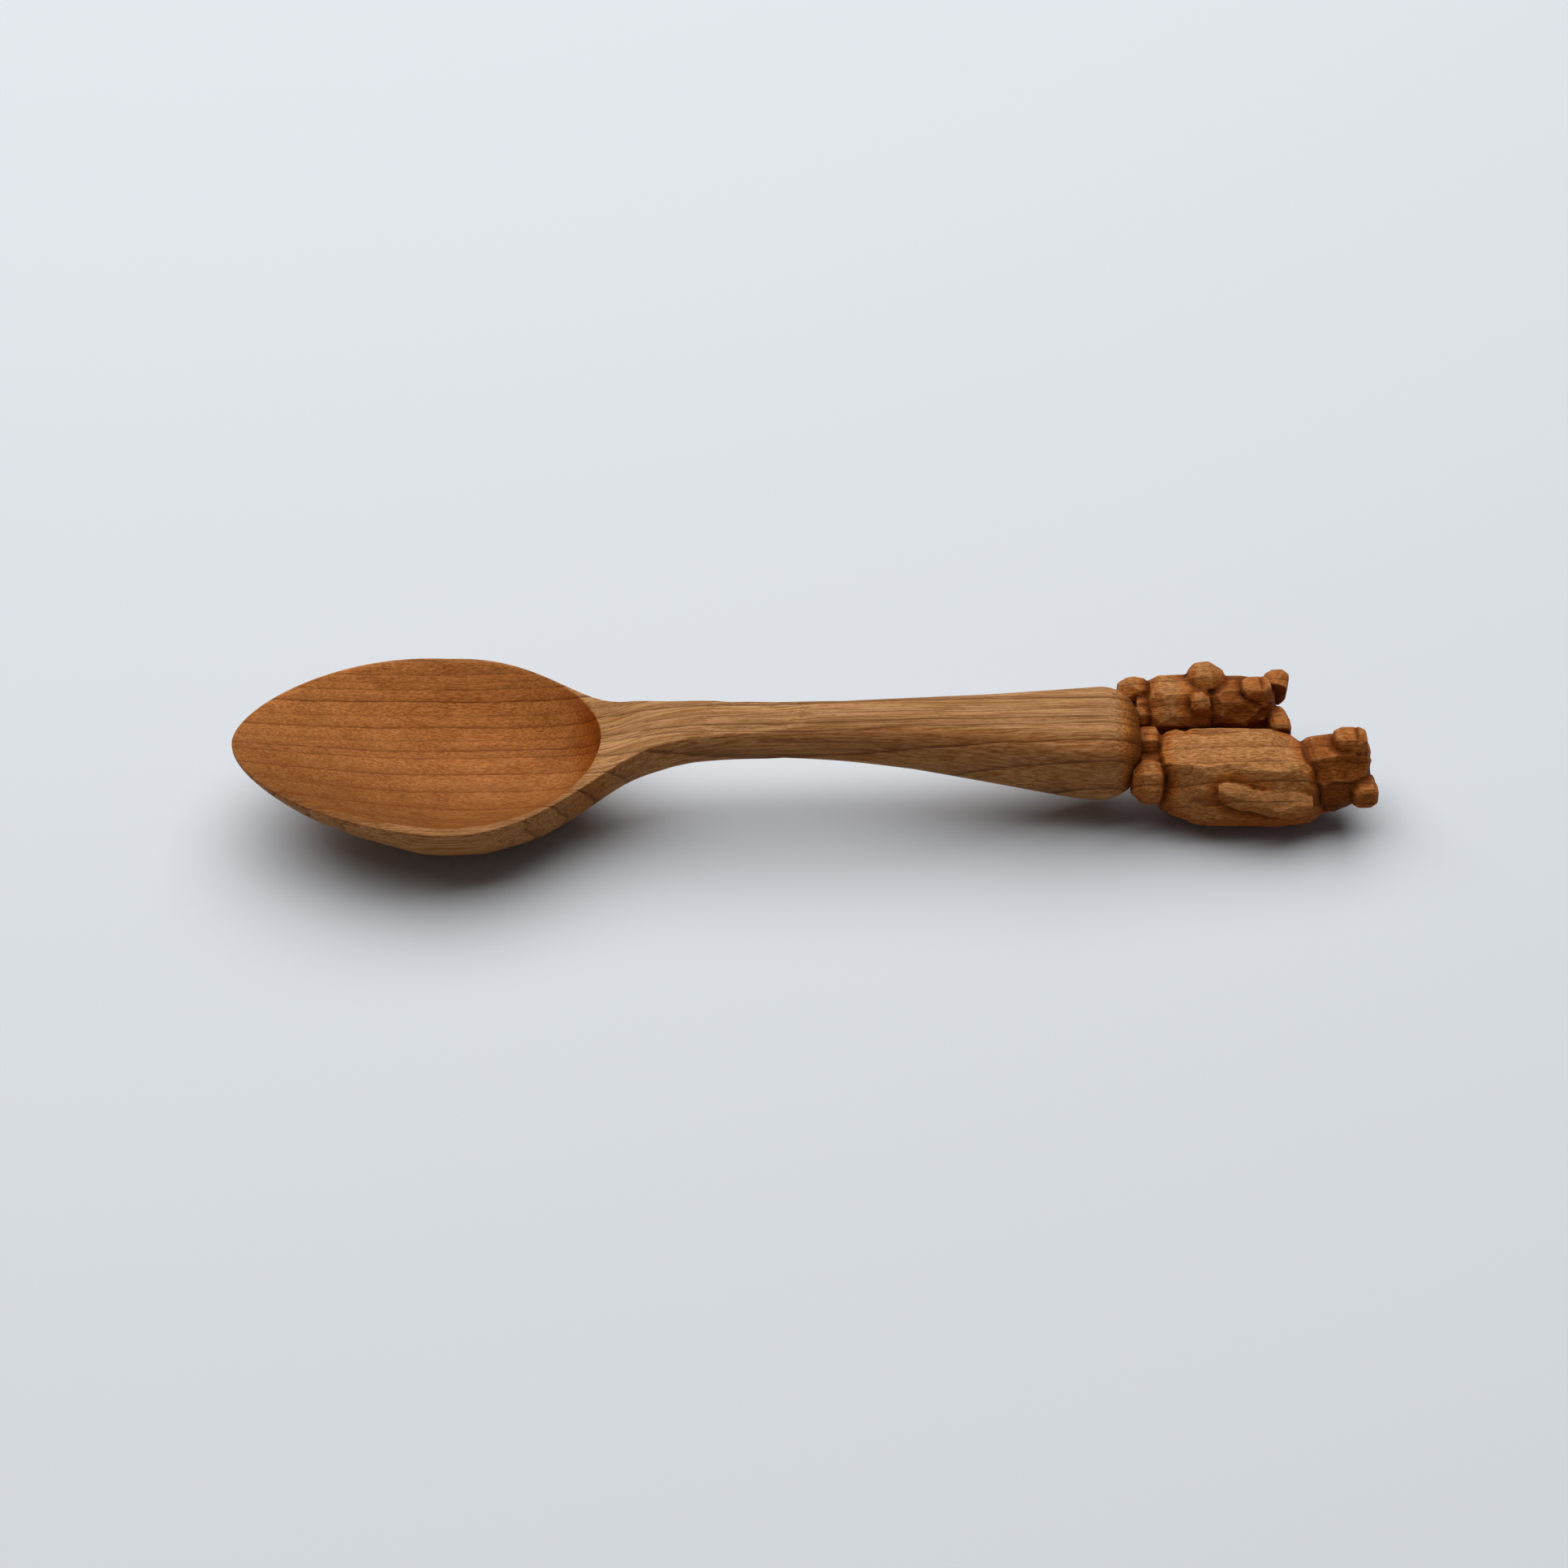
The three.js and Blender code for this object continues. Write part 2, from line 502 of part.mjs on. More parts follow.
// Cub's paws: the far arm a big squared lump folded on the chest, the near paw a small knob beside it.
const clearOfCub = (shape) => shape.subtract(cubBody(CUT)).subtract(cubHead(CUT)).subtract(legs);
const paw = (x, y, z, long, half, tall) => clearOfCub(whittled(ALONG_X, KNOB, [
  [x - long * 0.5, y, z - tall * 0.1, half * 0.66, tall * 0.66],
  [x - long * 0.3, y, z, half * 0.95, tall * 0.95],
  [x + long * 0.1, y, z, half, tall],
  [x + long * 0.5, y, z - tall * 0.3, half * 0.7, tall * 0.66],
], 0));
const farPaw = paw(CX(0.92), CY + CW * 0.35, CZ + CD * 0.84, CUB_LENGTH * 0.58, CW * 0.52, CD * 0.45);
const nearPaw = paw(CX(0.77), CY - CW * 0.56, CZ + CD * 0.77, CUB_LENGTH * 0.32, CW * 0.29, CD * 0.35);
add('cub_far_paw', geometryOf(farPaw), 0x8a5628, 0.55);
add('cub_near_paw', geometryOf(nearPaw), 0x8a5628, 0.55);

// The origin goes to the middle of the underside of the whole spoon.
const box = new THREE.Box3().setFromObject(group);
const middle = box.getCenter(new THREE.Vector3());
for (const mesh of group.children) mesh.geometry.translate(-middle.x, -middle.y, -box.min.z);

export default group;
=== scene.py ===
"""A carved wooden spoon whose handle ends in a she-bear and her cub, lying on a pale table."""
import math

import bpy
import numpy as np
from mathutils import Matrix, Vector, noise
from mathutils.bvhtree import BVHTree
from mathutils.kdtree import KDTree


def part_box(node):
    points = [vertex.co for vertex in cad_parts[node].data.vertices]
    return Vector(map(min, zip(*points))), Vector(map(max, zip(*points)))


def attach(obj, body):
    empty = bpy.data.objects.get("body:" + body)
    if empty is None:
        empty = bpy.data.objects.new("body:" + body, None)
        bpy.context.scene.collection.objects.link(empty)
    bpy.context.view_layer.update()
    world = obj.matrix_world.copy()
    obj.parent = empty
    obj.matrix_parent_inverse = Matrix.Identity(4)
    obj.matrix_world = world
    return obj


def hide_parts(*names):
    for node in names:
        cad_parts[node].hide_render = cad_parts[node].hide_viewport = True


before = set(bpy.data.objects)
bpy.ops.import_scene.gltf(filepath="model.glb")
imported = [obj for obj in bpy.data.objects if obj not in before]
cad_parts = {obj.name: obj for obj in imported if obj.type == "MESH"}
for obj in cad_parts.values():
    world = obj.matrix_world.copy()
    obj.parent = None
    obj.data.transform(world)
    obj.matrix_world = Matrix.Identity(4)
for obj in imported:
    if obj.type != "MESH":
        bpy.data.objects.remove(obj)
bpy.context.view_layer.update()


# Bowl and handle. One billet of cherry, sawn to outline, hollowed with a bent gouge and scraped smooth
# inside; the outside and the handle are left straight from the knife, in long flats, and wiped with oil.
# All sizes in this section are in millimetres, measured from the neck, where the bowl meets the handle.
MM = 0.001
bowl_low, bowl_high = (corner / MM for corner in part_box("bowl"))
handle_low, handle_high = (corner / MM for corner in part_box("handle"))
NECK_PLACE = handle_low.x
TIP = bowl_low.x - NECK_PLACE
BOWL_HALF = bowl_high.y
RIM_HEIGHT = 16.9
TIP_RISE = 1.9
TIP_THICKNESS = 1.5
RIM_ROUNDING = 0.4
NEAR_LAND = 1.9
FAR_LAND = 0.5
TIP_LAND = 0.8
NECK_HALF = 7.7
NECK_TOP = 20.1
NECK_BOTTOM = 8.8
HANDLE_HALF = 4.9
HANDLE_TOP = handle_high.z
HANDLE_BOTTOM = 14.0
HANDLE_END = handle_high.x - NECK_PLACE
COLLAR_HALF = 10.25
COLLAR_BOTTOM = 3.7
COLLAR_ROUND = 7.0
RIDGE_LENGTH = 30.0
WIDEST = TIP * 0.455
FOOT_START = WIDEST + 1
FOOT_END = FOOT_START + 11
SLIM = HANDLE_END * 0.3
FULL = HANDLE_END - COLLAR_ROUND
CURVE_STEPS = 600


def drawn(x0, v0, x1, v1, x2, v2, x3, v3):
    """A curve drawn with two handles, read as its second number at a given x."""
    t = np.linspace(0, 1, CURVE_STEPS)
    weights = np.array([(1 - t) ** 3, 3 * t * (1 - t) ** 2, 3 * t * t * (1 - t), t**3])
    places = np.array([x0, x1, x2, x3]) @ weights
    values = np.array([v0, v1, v2, v3]) @ weights
    return lambda x: np.interp(x, places, values)


def eased(start, end, x):
    """0 before start, 1 after end and a soft rise between."""
    t = np.clip((x - start) / (end - start), 0, 1)
    return t * t * (3 - 2 * t)


tip_outline = drawn(TIP, 0, TIP, BOWL_HALF * 0.4, TIP * 0.76, BOWL_HALF, WIDEST, BOWL_HALF)
neck_outline = drawn(
    WIDEST, BOWL_HALF, WIDEST * 0.5, BOWL_HALF, WIDEST * 0.29, NECK_HALF * 1.36, 0, NECK_HALF)
slim_outline = drawn(
    0, NECK_HALF, SLIM * 0.22, NECK_HALF * 0.78, SLIM * 0.5, HANDLE_HALF, SLIM, HANDLE_HALF)
flare_outline = drawn(
    SLIM, HANDLE_HALF, FULL * 0.62, HANDLE_HALF, FULL * 0.73, COLLAR_HALF * 0.72, FULL, COLLAR_HALF)
tip_rim = drawn(
    TIP, RIM_HEIGHT + TIP_RISE, TIP * 0.62, RIM_HEIGHT + TIP_RISE, TIP * 0.5, RIM_HEIGHT, WIDEST, RIM_HEIGHT)
neck_rim = drawn(WIDEST, RIM_HEIGHT, WIDEST * 0.3, RIM_HEIGHT, WIDEST * 0.2, RIM_HEIGHT, 0, NECK_TOP)
slim_top = drawn(0, NECK_TOP, SLIM * 0.2, NECK_TOP + 2.8, SLIM * 0.5, HANDLE_TOP, SLIM, HANDLE_TOP)
tip_keel = drawn(
    TIP, RIM_HEIGHT + TIP_RISE - TIP_THICKNESS, TIP * 0.93, RIM_HEIGHT - 1.4, TIP * 0.64, 0.6, FOOT_START, 0)
neck_keel = drawn(FOOT_END, 0, FOOT_END * 0.66, 0, FOOT_END * 0.36, NECK_BOTTOM * 0.5, 0, NECK_BOTTOM)
slim_keel = drawn(
    0, NECK_BOTTOM, SLIM * 0.28, HANDLE_BOTTOM - 0.8, SLIM * 0.5, HANDLE_BOTTOM + 0.2, SLIM, HANDLE_BOTTOM)
flare_keel = drawn(
    SLIM, HANDLE_BOTTOM, FULL * 0.5, HANDLE_BOTTOM, FULL * 0.74, COLLAR_BOTTOM + 4, FULL, COLLAR_BOTTOM)


def blank_half(x):
    """Half the width of the sawn blank."""
    bowl = np.where(x < WIDEST, tip_outline(x), neck_outline(x))
    return np.where(x < 0, bowl, np.where(x < SLIM, slim_outline(x), flare_outline(x)))


def blank_top(x):
    """The height of the blank's upper face: the rim, the neck and the back of the handle."""
    bowl = np.where(x < WIDEST, tip_rim(x), neck_rim(x))
    return np.where(x < 0, bowl, np.where(x < SLIM, slim_top(x), HANDLE_TOP))


def blank_keel(x):
    """The height of the blank's underside, flat for a short way under the bowl."""
    bowl = np.where(x < FOOT_START, tip_keel(x), np.where(x < FOOT_END, 0, neck_keel(x)))
    return np.where(x < 0, bowl, np.where(x < SLIM, slim_keel(x), flare_keel(x)))


# The hollow: a leaf towards the tip and a steep round end towards the neck, deepest a little past the
# widest place. The land between its edge and the rim is wider on the near side than on the far side.
HOLLOW_DEPTH = 12.0
HOLLOW_END = -5.2
HOLLOW_FULLNESS = 0.54
HOLLOW_ROUNDING = 0.35
DEEPEST = WIDEST * 0.82
LAND_FALL = 3.0
LAND_BEND = 0.7
tip_depth = drawn(
    TIP + TIP_LAND, 0, TIP * 0.85, HOLLOW_DEPTH * 0.25, TIP * 0.6, HOLLOW_DEPTH, DEEPEST, HOLLOW_DEPTH)
neck_depth = drawn(
    DEEPEST, HOLLOW_DEPTH, DEEPEST * 0.5, HOLLOW_DEPTH, HOLLOW_END, HOLLOW_DEPTH * 0.75, HOLLOW_END, 0)


def hollow_half(x, land):
    """Half the width of the hollow on the side whose rim is left that wide."""
    along = TIP + (x - TIP - TIP_LAND) * (WIDEST - TIP) / (WIDEST - TIP - TIP_LAND)
    leaf = tip_outline(along) * (BOWL_HALF - land) / BOWL_HALF
    reach = np.clip((x - WIDEST) / (HOLLOW_END - WIDEST), 0, 1)
    return np.where(x < WIDEST, leaf, (BOWL_HALF - land) * (1 - reach * reach) ** HOLLOW_FULLNESS)


def hollow_cut(x, y):
    """How far the gouge went below the rim, running out softly where its edge meets the land."""
    land = np.where(y > 0, FAR_LAND, NEAR_LAND)
    half = np.maximum(hollow_half(x, land), 1e-3)
    inside = np.clip(1 - (y / half) ** 2, 0, 1)
    depth = np.where(x < DEEPEST, tip_depth(x), neck_depth(x)) * inside
    past_side = np.clip((np.abs(y) - half) / 2, 0, None)
    past_end = np.clip(x - HOLLOW_END, 0, None) + np.clip(TIP + TIP_LAND - x, 0, None)
    depth = depth - LAND_FALL * (past_side + past_end) ** LAND_BEND
    return 0.5 * (depth + np.sqrt(depth * depth + HOLLOW_ROUNDING**2))


# Rings of points across the blank, close together at the tip and at the steep end of the hollow. The
# handle's end is rounded over to a flat face about half as wide.
TIP_REACH = 6.0
AFTER_TIP = 6.4
TIP_STEPS = np.linspace(0.03, 1, 40) ** 2
RING_STEP = 0.42
STEEP_STEP = 0.13
HANDLE_STEP = 0.6
END_TURN = 0.44 * np.pi
END_RINGS = 22
END_FACE = 0.42
stations = np.concatenate([
    TIP + TIP_REACH * TIP_STEPS,
    np.arange(TIP + AFTER_TIP, HOLLOW_END - 3, RING_STEP),
    np.arange(HOLLOW_END - 3, HOLLOW_END + 1, STEEP_STEP),
    np.arange(HOLLOW_END + 1, RIDGE_LENGTH, RING_STEP),
    np.arange(RIDGE_LENGTH, FULL, HANDLE_STEP),
])
end_turns = np.linspace(0, END_TURN, END_RINGS)
end_stations = FULL + COLLAR_ROUND * np.sin(end_turns) / np.sin(END_TURN)
end_shrink = END_FACE + (1 - END_FACE) * np.cos(end_turns)
collar_middle = (HANDLE_TOP + COLLAR_BOTTOM) / 2
collar_rise = (HANDLE_TOP - COLLAR_BOTTOM) / 2
x = np.concatenate([stations, end_stations])[:, None]
shrink = np.concatenate([np.ones(len(stations)), end_shrink])[:, None]
top = collar_middle + (blank_top(x) - collar_middle) * shrink
keel = np.where(x < FULL, blank_keel(x), collar_middle - collar_rise * shrink)
half = blank_half(np.minimum(x, FULL)) * shrink

# Each ring is a rounded square: nearly sharp along the bowl's rim, softer on the handle, and softer on
# the far side than on the near one. The waist is where its upper half meets the lower. A point on each
# side follows the hollow's edge, between a least share of the half width and the rounded corner.
RIM_SQUARE = 7.0
FAR_SQUARE = 2.45
NEAR_SQUARE = 4.1
BOWL_KEEL_SQUARE = 2.05
HANDLE_KEEL_SQUARE = 2.45
KEEL_CHANGE = (-2, 10)
NECK_CHANGE = (-5, 6)
LOWER_POINTS = 60
CORNER_POINTS = 6
LAND_POINTS = 4
ACROSS_POINTS = 76
NARROW_ROUNDING = 0.3
CORNER_TURN = 0.5
LEAST_EDGE = 0.5
HANDLE_EDGE_GAIN = 0.36
FAR_EDGE_MOST = 0.992
NEAR_EDGE_MOST = 0.985
rounded = eased(0, RIDGE_LENGTH, x)
edge = np.minimum(RIM_ROUNDING, half * NARROW_ROUNDING)
crown = edge + ((top - keel) / 2 - edge) * rounded
waist = top - crown
far_square = RIM_SQUARE + (FAR_SQUARE - RIM_SQUARE) * rounded
near_square = RIM_SQUARE + (NEAR_SQUARE - RIM_SQUARE) * rounded
keel_square = BOWL_KEEL_SQUARE + (HANDLE_KEEL_SQUARE - BOWL_KEEL_SQUARE) * eased(*KEEL_CHANGE, x)
turn = np.linspace(np.pi, 2 * np.pi, LOWER_POINTS)[None, :]
lower_y = half * np.sign(np.cos(turn)) * np.abs(np.cos(turn)) ** (2 / keel_square)
lower_z = waist - (waist - keel) * np.abs(np.sin(turn)) ** (2 / keel_square)
corner_turn = np.linspace(0, CORNER_TURN, CORNER_POINTS + 1)[None, 1:]
far_corner = half * np.cos(corner_turn) ** (2 / far_square)
near_corner = half * np.cos(corner_turn) ** (2 / near_square)
far_end, near_end = far_corner[:, -1:], near_corner[:, -1:]
least = (LEAST_EDGE + HANDLE_EDGE_GAIN * eased(*NECK_CHANGE, x)) * half
far_edge = np.minimum(np.maximum(hollow_half(x, FAR_LAND), least), far_end * FAR_EDGE_MOST)
near_edge = np.minimum(np.maximum(hollow_half(x, NEAR_LAND), least), near_end * NEAR_EDGE_MOST)
land_share = np.linspace(0, 1, LAND_POINTS + 1)[None, 1:]
across_share = np.sin(np.linspace(np.pi / 2, -np.pi / 2, ACROSS_POINTS))[None, 1:-1]
across_y = across_share * np.where(across_share > 0, far_edge, near_edge)
upper_y = np.concatenate([
    far_corner,
    far_end + (far_edge - far_end) * land_share,
    across_y,
    -near_edge + (near_edge - near_end) * (land_share - 1 / LAND_POINTS),
    -near_corner[:, ::-1],
], axis=1)
square = np.where(upper_y > 0, far_square, near_square)
upper_z = waist + crown * (1 - np.clip(np.abs(upper_y / half), 0, 1) ** square) ** (1 / square)
hollow = hollow_cut(x, upper_y)
ring_y = np.concatenate([lower_y, upper_y], axis=1)
ring_z = np.concatenate([lower_z, upper_z - hollow], axis=1)
ring_x = np.repeat(x, ring_y.shape[1], axis=1)
is_lower = np.arange(ring_y.shape[1])[None, :] < LOWER_POINTS

# Knife flats: the direction each one faces round the spoon in degrees from the far side, where it starts
# and ends, the length of a stroke and how deep it cuts at its ends. They fade out towards the bowl's rim.
KNIFE_FLATS = [
    (92, 8, 120, 31, 0.12), (139, 58, 120, 19, 0.25), (181, -2, 120, 22, 0.2), (221, -1, 120, 18, 0.2),
    (266, -3, 120, 24, 0.15), (309, 2, 120, 21, 0.2), (359, -2, 120, 23, 0.2), (43, 10, 120, 27, 0.28),
    (193, -66, -4, 13, 0.2), (217, -62, -3, 11, 0.24), (243, -58, -6, 10, 0.24), (270, -60, -20, 16, 0.1),
    (297, -58, -5, 11, 0.3), (324, -62, -3, 12, 0.35), (348, -66, -4, 14, 0.25),
]
RIDGE_SHARPNESS = 110
FLAT_FADE = 9
FLAT_RUN_OUT = 4
FIRST_STOP_SPREAD = 0.25
STOP_SPREAD = 0.2
CUT_SPREAD = (0.7, 1.2)
BELOW_RIM = (0.03, 0.3)
WHOLE_RING_FROM = -4
THINNEST = 0.1
MOST_PROUD = 1.15
draw = np.random.default_rng(11)
arm_y = ring_y
arm_z = ring_z - waist
reach = np.ones_like(ring_y)
for direction, start, end, stroke, cut in KNIFE_FLATS:
    facing = math.radians(direction)
    stops = np.arange(start, min(end, FULL) + stroke, stroke)
    stops = stops + draw.uniform(-FIRST_STOP_SPREAD, FIRST_STOP_SPREAD) * stroke
    stops = np.minimum(stops + draw.uniform(-STOP_SPREAD, STOP_SPREAD, len(stops)) * stroke, FULL)
    stand_out = arm_y * math.cos(facing) + arm_z * math.sin(facing)
    support = np.where(is_lower | (x > WHOLE_RING_FROM), stand_out, 0).max(axis=1)
    at_stops = np.interp(stops, x[:, 0], support) - cut * draw.uniform(*CUT_SPREAD, len(stops))
    flat = np.interp(x[:, 0], stops, at_stops)[:, None] * shrink
    within = eased(start - FLAT_FADE, start + FLAT_FADE, x)
    within = within * (1 - eased(end - FLAT_FADE, end + FLAT_RUN_OUT, x))
    share = np.clip(stand_out * within / np.maximum(flat, THINNEST), 0, MOST_PROUD)
    reach = reach + share**RIDGE_SHARPNESS
below_rim = np.where(is_lower, eased(*BELOW_RIM, -arm_z / np.maximum(waist - keel, THINNEST)), 0)
reach = 1 + (reach ** (-1 / RIDGE_SHARPNESS) - 1) * np.maximum(below_rim, eased(*NECK_CHANGE, x))

# The far side of the neck is pared in more than the near side, between these places.
FAR_PARING = 0.19
PARING_STARTS = (-2.6, 9.1)
PARING_ENDS = (14.3, 26)
far_neck = 1 - FAR_PARING * eased(*PARING_STARTS, x) * (1 - eased(*PARING_ENDS, x))
ring_y = arm_y * reach
ring_y = np.where(ring_y > 0, ring_y * far_neck, ring_y)
ring_z = np.maximum(waist + arm_z * reach, 0)


def closed_rings(name, points):
    """A closed mesh from rings of points, each end shut by faces that meet in its middle."""
    rings, count, _ = points.shape
    corners = np.concatenate([points.reshape(-1, 3), points[:1].mean(axis=1), points[-1:].mean(axis=1)])
    first, last = rings * count, rings * count + 1
    faces = []
    for ring in range(rings - 1):
        for point in range(count):
            a = ring * count + point
            b = ring * count + (point + 1) % count
            faces.append((a, b, b + count, a + count))
    end = (rings - 1) * count
    for point in range(count):
        following = (point + 1) % count
        faces.append((following, point, first))
        faces.append((end + point, end + following, last))
    mesh = bpy.data.meshes.new(name)
    mesh.from_pydata((corners * MM).tolist(), [], faces)
    mesh.shade_smooth()
    piece = bpy.data.objects.new(name, mesh)
    bpy.context.scene.collection.objects.link(piece)
    return piece


spoon = closed_rings("bowl_and_handle", np.stack([ring_x + NECK_PLACE, ring_y, ring_z], axis=2))


def save_mask(piece, name, values):
    """Keeps one number per point of the mesh for the finish to read."""
    held = piece.data.attributes.new(name, "FLOAT", "POINT")
    held.data.foreach_set("value", np.asarray(values, np.float32).ravel())


def save_ring_mask(name, values):
    """The same for the spoon's rings, with nothing at the two points that shut its ends."""
    save_mask(spoon, name, np.concatenate([values.ravel(), [0, 0]]))


# Where the finish changes: scraped in the hollow and rubbed along the land; painted light that makes the
# hollow lighter towards the far wall and darker towards the near one, evening out the lamp's shading; and how
# far the top stands above or below the handle's, which the fibres follow.
SCRAPED_DEPTH = (0.12, 0.32)
LAND_RUB_LOSS = 0.45
LAND_RUB_FADES = (-56, -40)
LAND_RUB_ENDS = (-15, -5)
FAR_WALL_PAINTED_LIGHT_ACROSS = (-22, 24)
land_rub = (1 - LAND_RUB_LOSS * eased(*LAND_RUB_FADES, x)) * (1 - eased(*LAND_RUB_ENDS, x))
scraped = np.maximum(eased(*SCRAPED_DEPTH, hollow), land_rub)
save_ring_mask("scraped", np.concatenate([np.zeros_like(lower_y), scraped], axis=1))
# Painted light: the hollow's colour is scaled lighter towards the far wall and darker towards the near wall.
save_ring_mask("far_wall_painted_light", eased(*FAR_WALL_PAINTED_LIGHT_ACROSS, ring_y))
top_rise = blank_top(np.clip(x, HOLLOW_END, FULL)) - HANDLE_TOP
save_ring_mask("rise", np.repeat(top_rise, ring_y.shape[1], axis=1))

# The timber's figure, the same all through the billet: rings round a pith that lay outside it, up and
# behind, darkening to a thin line at each year's end, with fibres and pores drawn out along the handle.
# Each growth line has its distance from the pith in millimetres and its strength.
PITH = (0, 77, 65)
GROWTH_LINES = [
    (72.6, 0.5), (75.2, 0.5), (76.7, 0.45), (78.1, 0.6), (80.5, 1.0), (83.2, 0.4), (85.5, 0.9), (88.0, 0.5),
    (90.0, 0.9), (91.4, 0.7), (94.7, 0.9), (98.2, 0.8), (101.9, 1.0), (105.5, 0.8), (108.6, 0.7),
]
LATE_WOOD, LATE_WOOD_SHARE = 2.0, 0.4
DARK_LINE, DARK_LINE_SHARE = 0.4, 0.7
YEAR_END = 0.14
SWAY = 1.8
WAVER = 0.5
LINE_BREAKS, LINE_LEFT = (0.34, 0.6), (0.7, 1.0)
PORE_RANGE = (0.58, 0.7)
FLECK_RANGE = (0.58, 0.72)


def feed(tree, value, socket):
    """Links another socket to this one, or sets it to a plain value."""
    if isinstance(value, bpy.types.NodeSocket):
        tree.links.new(value, socket)
    else:
        socket.default_value = value


def maths(tree, operation, first, second):
    """One sum on sockets or numbers."""
    node = tree.nodes.new("ShaderNodeMath")
    node.operation = operation
    feed(tree, first, node.inputs[0])
    feed(tree, second, node.inputs[1])
    return node.outputs[0]


def place_maths(tree, operation, first, second):
    """One sum on places or colours; the second is a number when the first is scaled."""
    node = tree.nodes.new("ShaderNodeVectorMath")
    node.operation = operation
    feed(tree, first, node.inputs[0])
    feed(tree, second, node.inputs["Scale"] if operation == "SCALE" else node.inputs[1])
    return node.outputs["Value"] if operation == "DISTANCE" else node.outputs["Vector"]


def ranged(tree, value, low, high, to_low=0.0, to_high=1.0):
    """The value's place between low and high, eased."""
    node = tree.nodes.new("ShaderNodeMapRange")
    node.interpolation_type = "SMOOTHSTEP"
    feed(tree, value, node.inputs["Value"])
    for name, number in (("From Min", low), ("From Max", high), ("To Min", to_low), ("To Max", to_high)):
        node.inputs[name].default_value = number
    return node.outputs["Result"]


def mixed(tree, share, first, second, blend="MIX"):
    """Two colours mixed by a share; either colour may be a socket."""
    node = tree.nodes.new("ShaderNodeMix")
    node.data_type = "RGBA"
    node.blend_type = blend
    feed(tree, share, node.inputs["Factor"])
    for socket, colour in ((node.inputs[6], first), (node.inputs[7], second)):
        feed(tree, (*colour, 1) if isinstance(colour, tuple) else colour, socket)
    return node.outputs[2]


def mask_of(tree, name):
    """A number kept on the mesh, 0 on a mesh that has none."""
    node = tree.nodes.new("ShaderNodeAttribute")
    node.attribute_name = name
    return node.outputs["Fac"]


def streaks(tree, place, stretch, detail, rough=0.55):
    """Noise drawn out by different amounts along the three directions, about 0 to 1."""
    drawn_out = tree.nodes.new("ShaderNodeTexNoise")
    drawn_out.inputs["Scale"].default_value = 1.0
    drawn_out.inputs["Detail"].default_value = detail
    drawn_out.inputs["Roughness"].default_value = rough
    feed(tree, place_maths(tree, "MULTIPLY", place, stretch), drawn_out.inputs["Vector"])
    return drawn_out.outputs["Fac"]


timber = bpy.data.node_groups.new("cherry_timber", "ShaderNodeTree")
place = place_maths(timber, "SCALE", timber.nodes.new("ShaderNodeTexCoord").outputs["Object"], 1 / MM)
lift = timber.nodes.new("ShaderNodeCombineXYZ")
feed(timber, mask_of(timber, "rise"), lift.inputs["Z"])
fibre_place = place_maths(timber, "SUBTRACT", place, lift.outputs[0])
across_grain = place_maths(timber, "MULTIPLY", place, (0, 1, 1))
ring = place_maths(timber, "DISTANCE", across_grain, PITH)
sway = streaks(timber, place, (0.02, 0.05, 0.05), 1)
waver = streaks(timber, place, (0.12, 0.6, 0.6), 3)
for wander, width in ((sway, SWAY), (waver, WAVER)):
    off = maths(timber, "MULTIPLY", maths(timber, "SUBTRACT", wander, 0.5), width)
    ring = maths(timber, "ADD", ring, off)
lines = None
for line_radius, strength in GROWTH_LINES:
    late_wood = ranged(timber, ring, line_radius - LATE_WOOD, line_radius, 0, LATE_WOOD_SHARE * strength)
    dark_line = ranged(timber, ring, line_radius - DARK_LINE, line_radius, 0, DARK_LINE_SHARE * strength)
    year_end = ranged(timber, ring, line_radius, line_radius + YEAR_END, 1, 0)
    this_line = maths(timber, "MULTIPLY", maths(timber, "ADD", late_wood, dark_line), year_end)
    lines = this_line if lines is None else maths(timber, "MAXIMUM", lines, this_line)
broken = ranged(timber, streaks(timber, place, (0.2, 0.9, 0.9), 2), *LINE_BREAKS, *LINE_LEFT)
figures = {
    "Growth Line": maths(timber, "MULTIPLY", lines, broken),
    "Fibre": streaks(timber, fibre_place, (0.07, 3.0, 2.7), 3, 0.65),
    "Speckle": streaks(timber, place, (0.9, 3.4, 3.4), 2, 0.6),
    "Mottle": streaks(timber, place, (0.12, 0.28, 0.28), 3, 0.6),
    "Band": streaks(timber, fibre_place, (0.03, 0.6, 0.6), 3),
    "Pores": ranged(timber, streaks(timber, fibre_place, (0.6, 5.2, 5.2), 1), *PORE_RANGE),
    "Flecks": ranged(timber, streaks(timber, fibre_place, (0.35, 4.3, 4.3), 1), *FLECK_RANGE),
    "Scraper Ribs": streaks(timber, place, (1.0, 0.06, 0.06), 1),
}
for name in figures:
    timber.interface.new_socket(name, in_out="OUTPUT", socket_type="NodeSocketFloat")
timber_out = timber.nodes.new("NodeGroupOutput")
for name, value in figures.items():
    feed(timber, value, timber_out.inputs[name])

# The oiled finish. Where the wood was scraped and rubbed, light fibres stand in a deep orange ground; oil
# stains it in two steps, a glow and then a brown, and the knife's own marks are dulled by the scraper.
RUBBED_PALE = (0.51, 0.193, 0.053)
RUBBED_DARK = (0.23, 0.061, 0.006)
RUBBED_LINE = (0.18, 0.048, 0.008)
# Painted light on the near bevel of the neck and handle, lighter and warmer.
NEAR_BEVEL_PAINTED_LIGHT = (1.36, 1.2, 1.1)
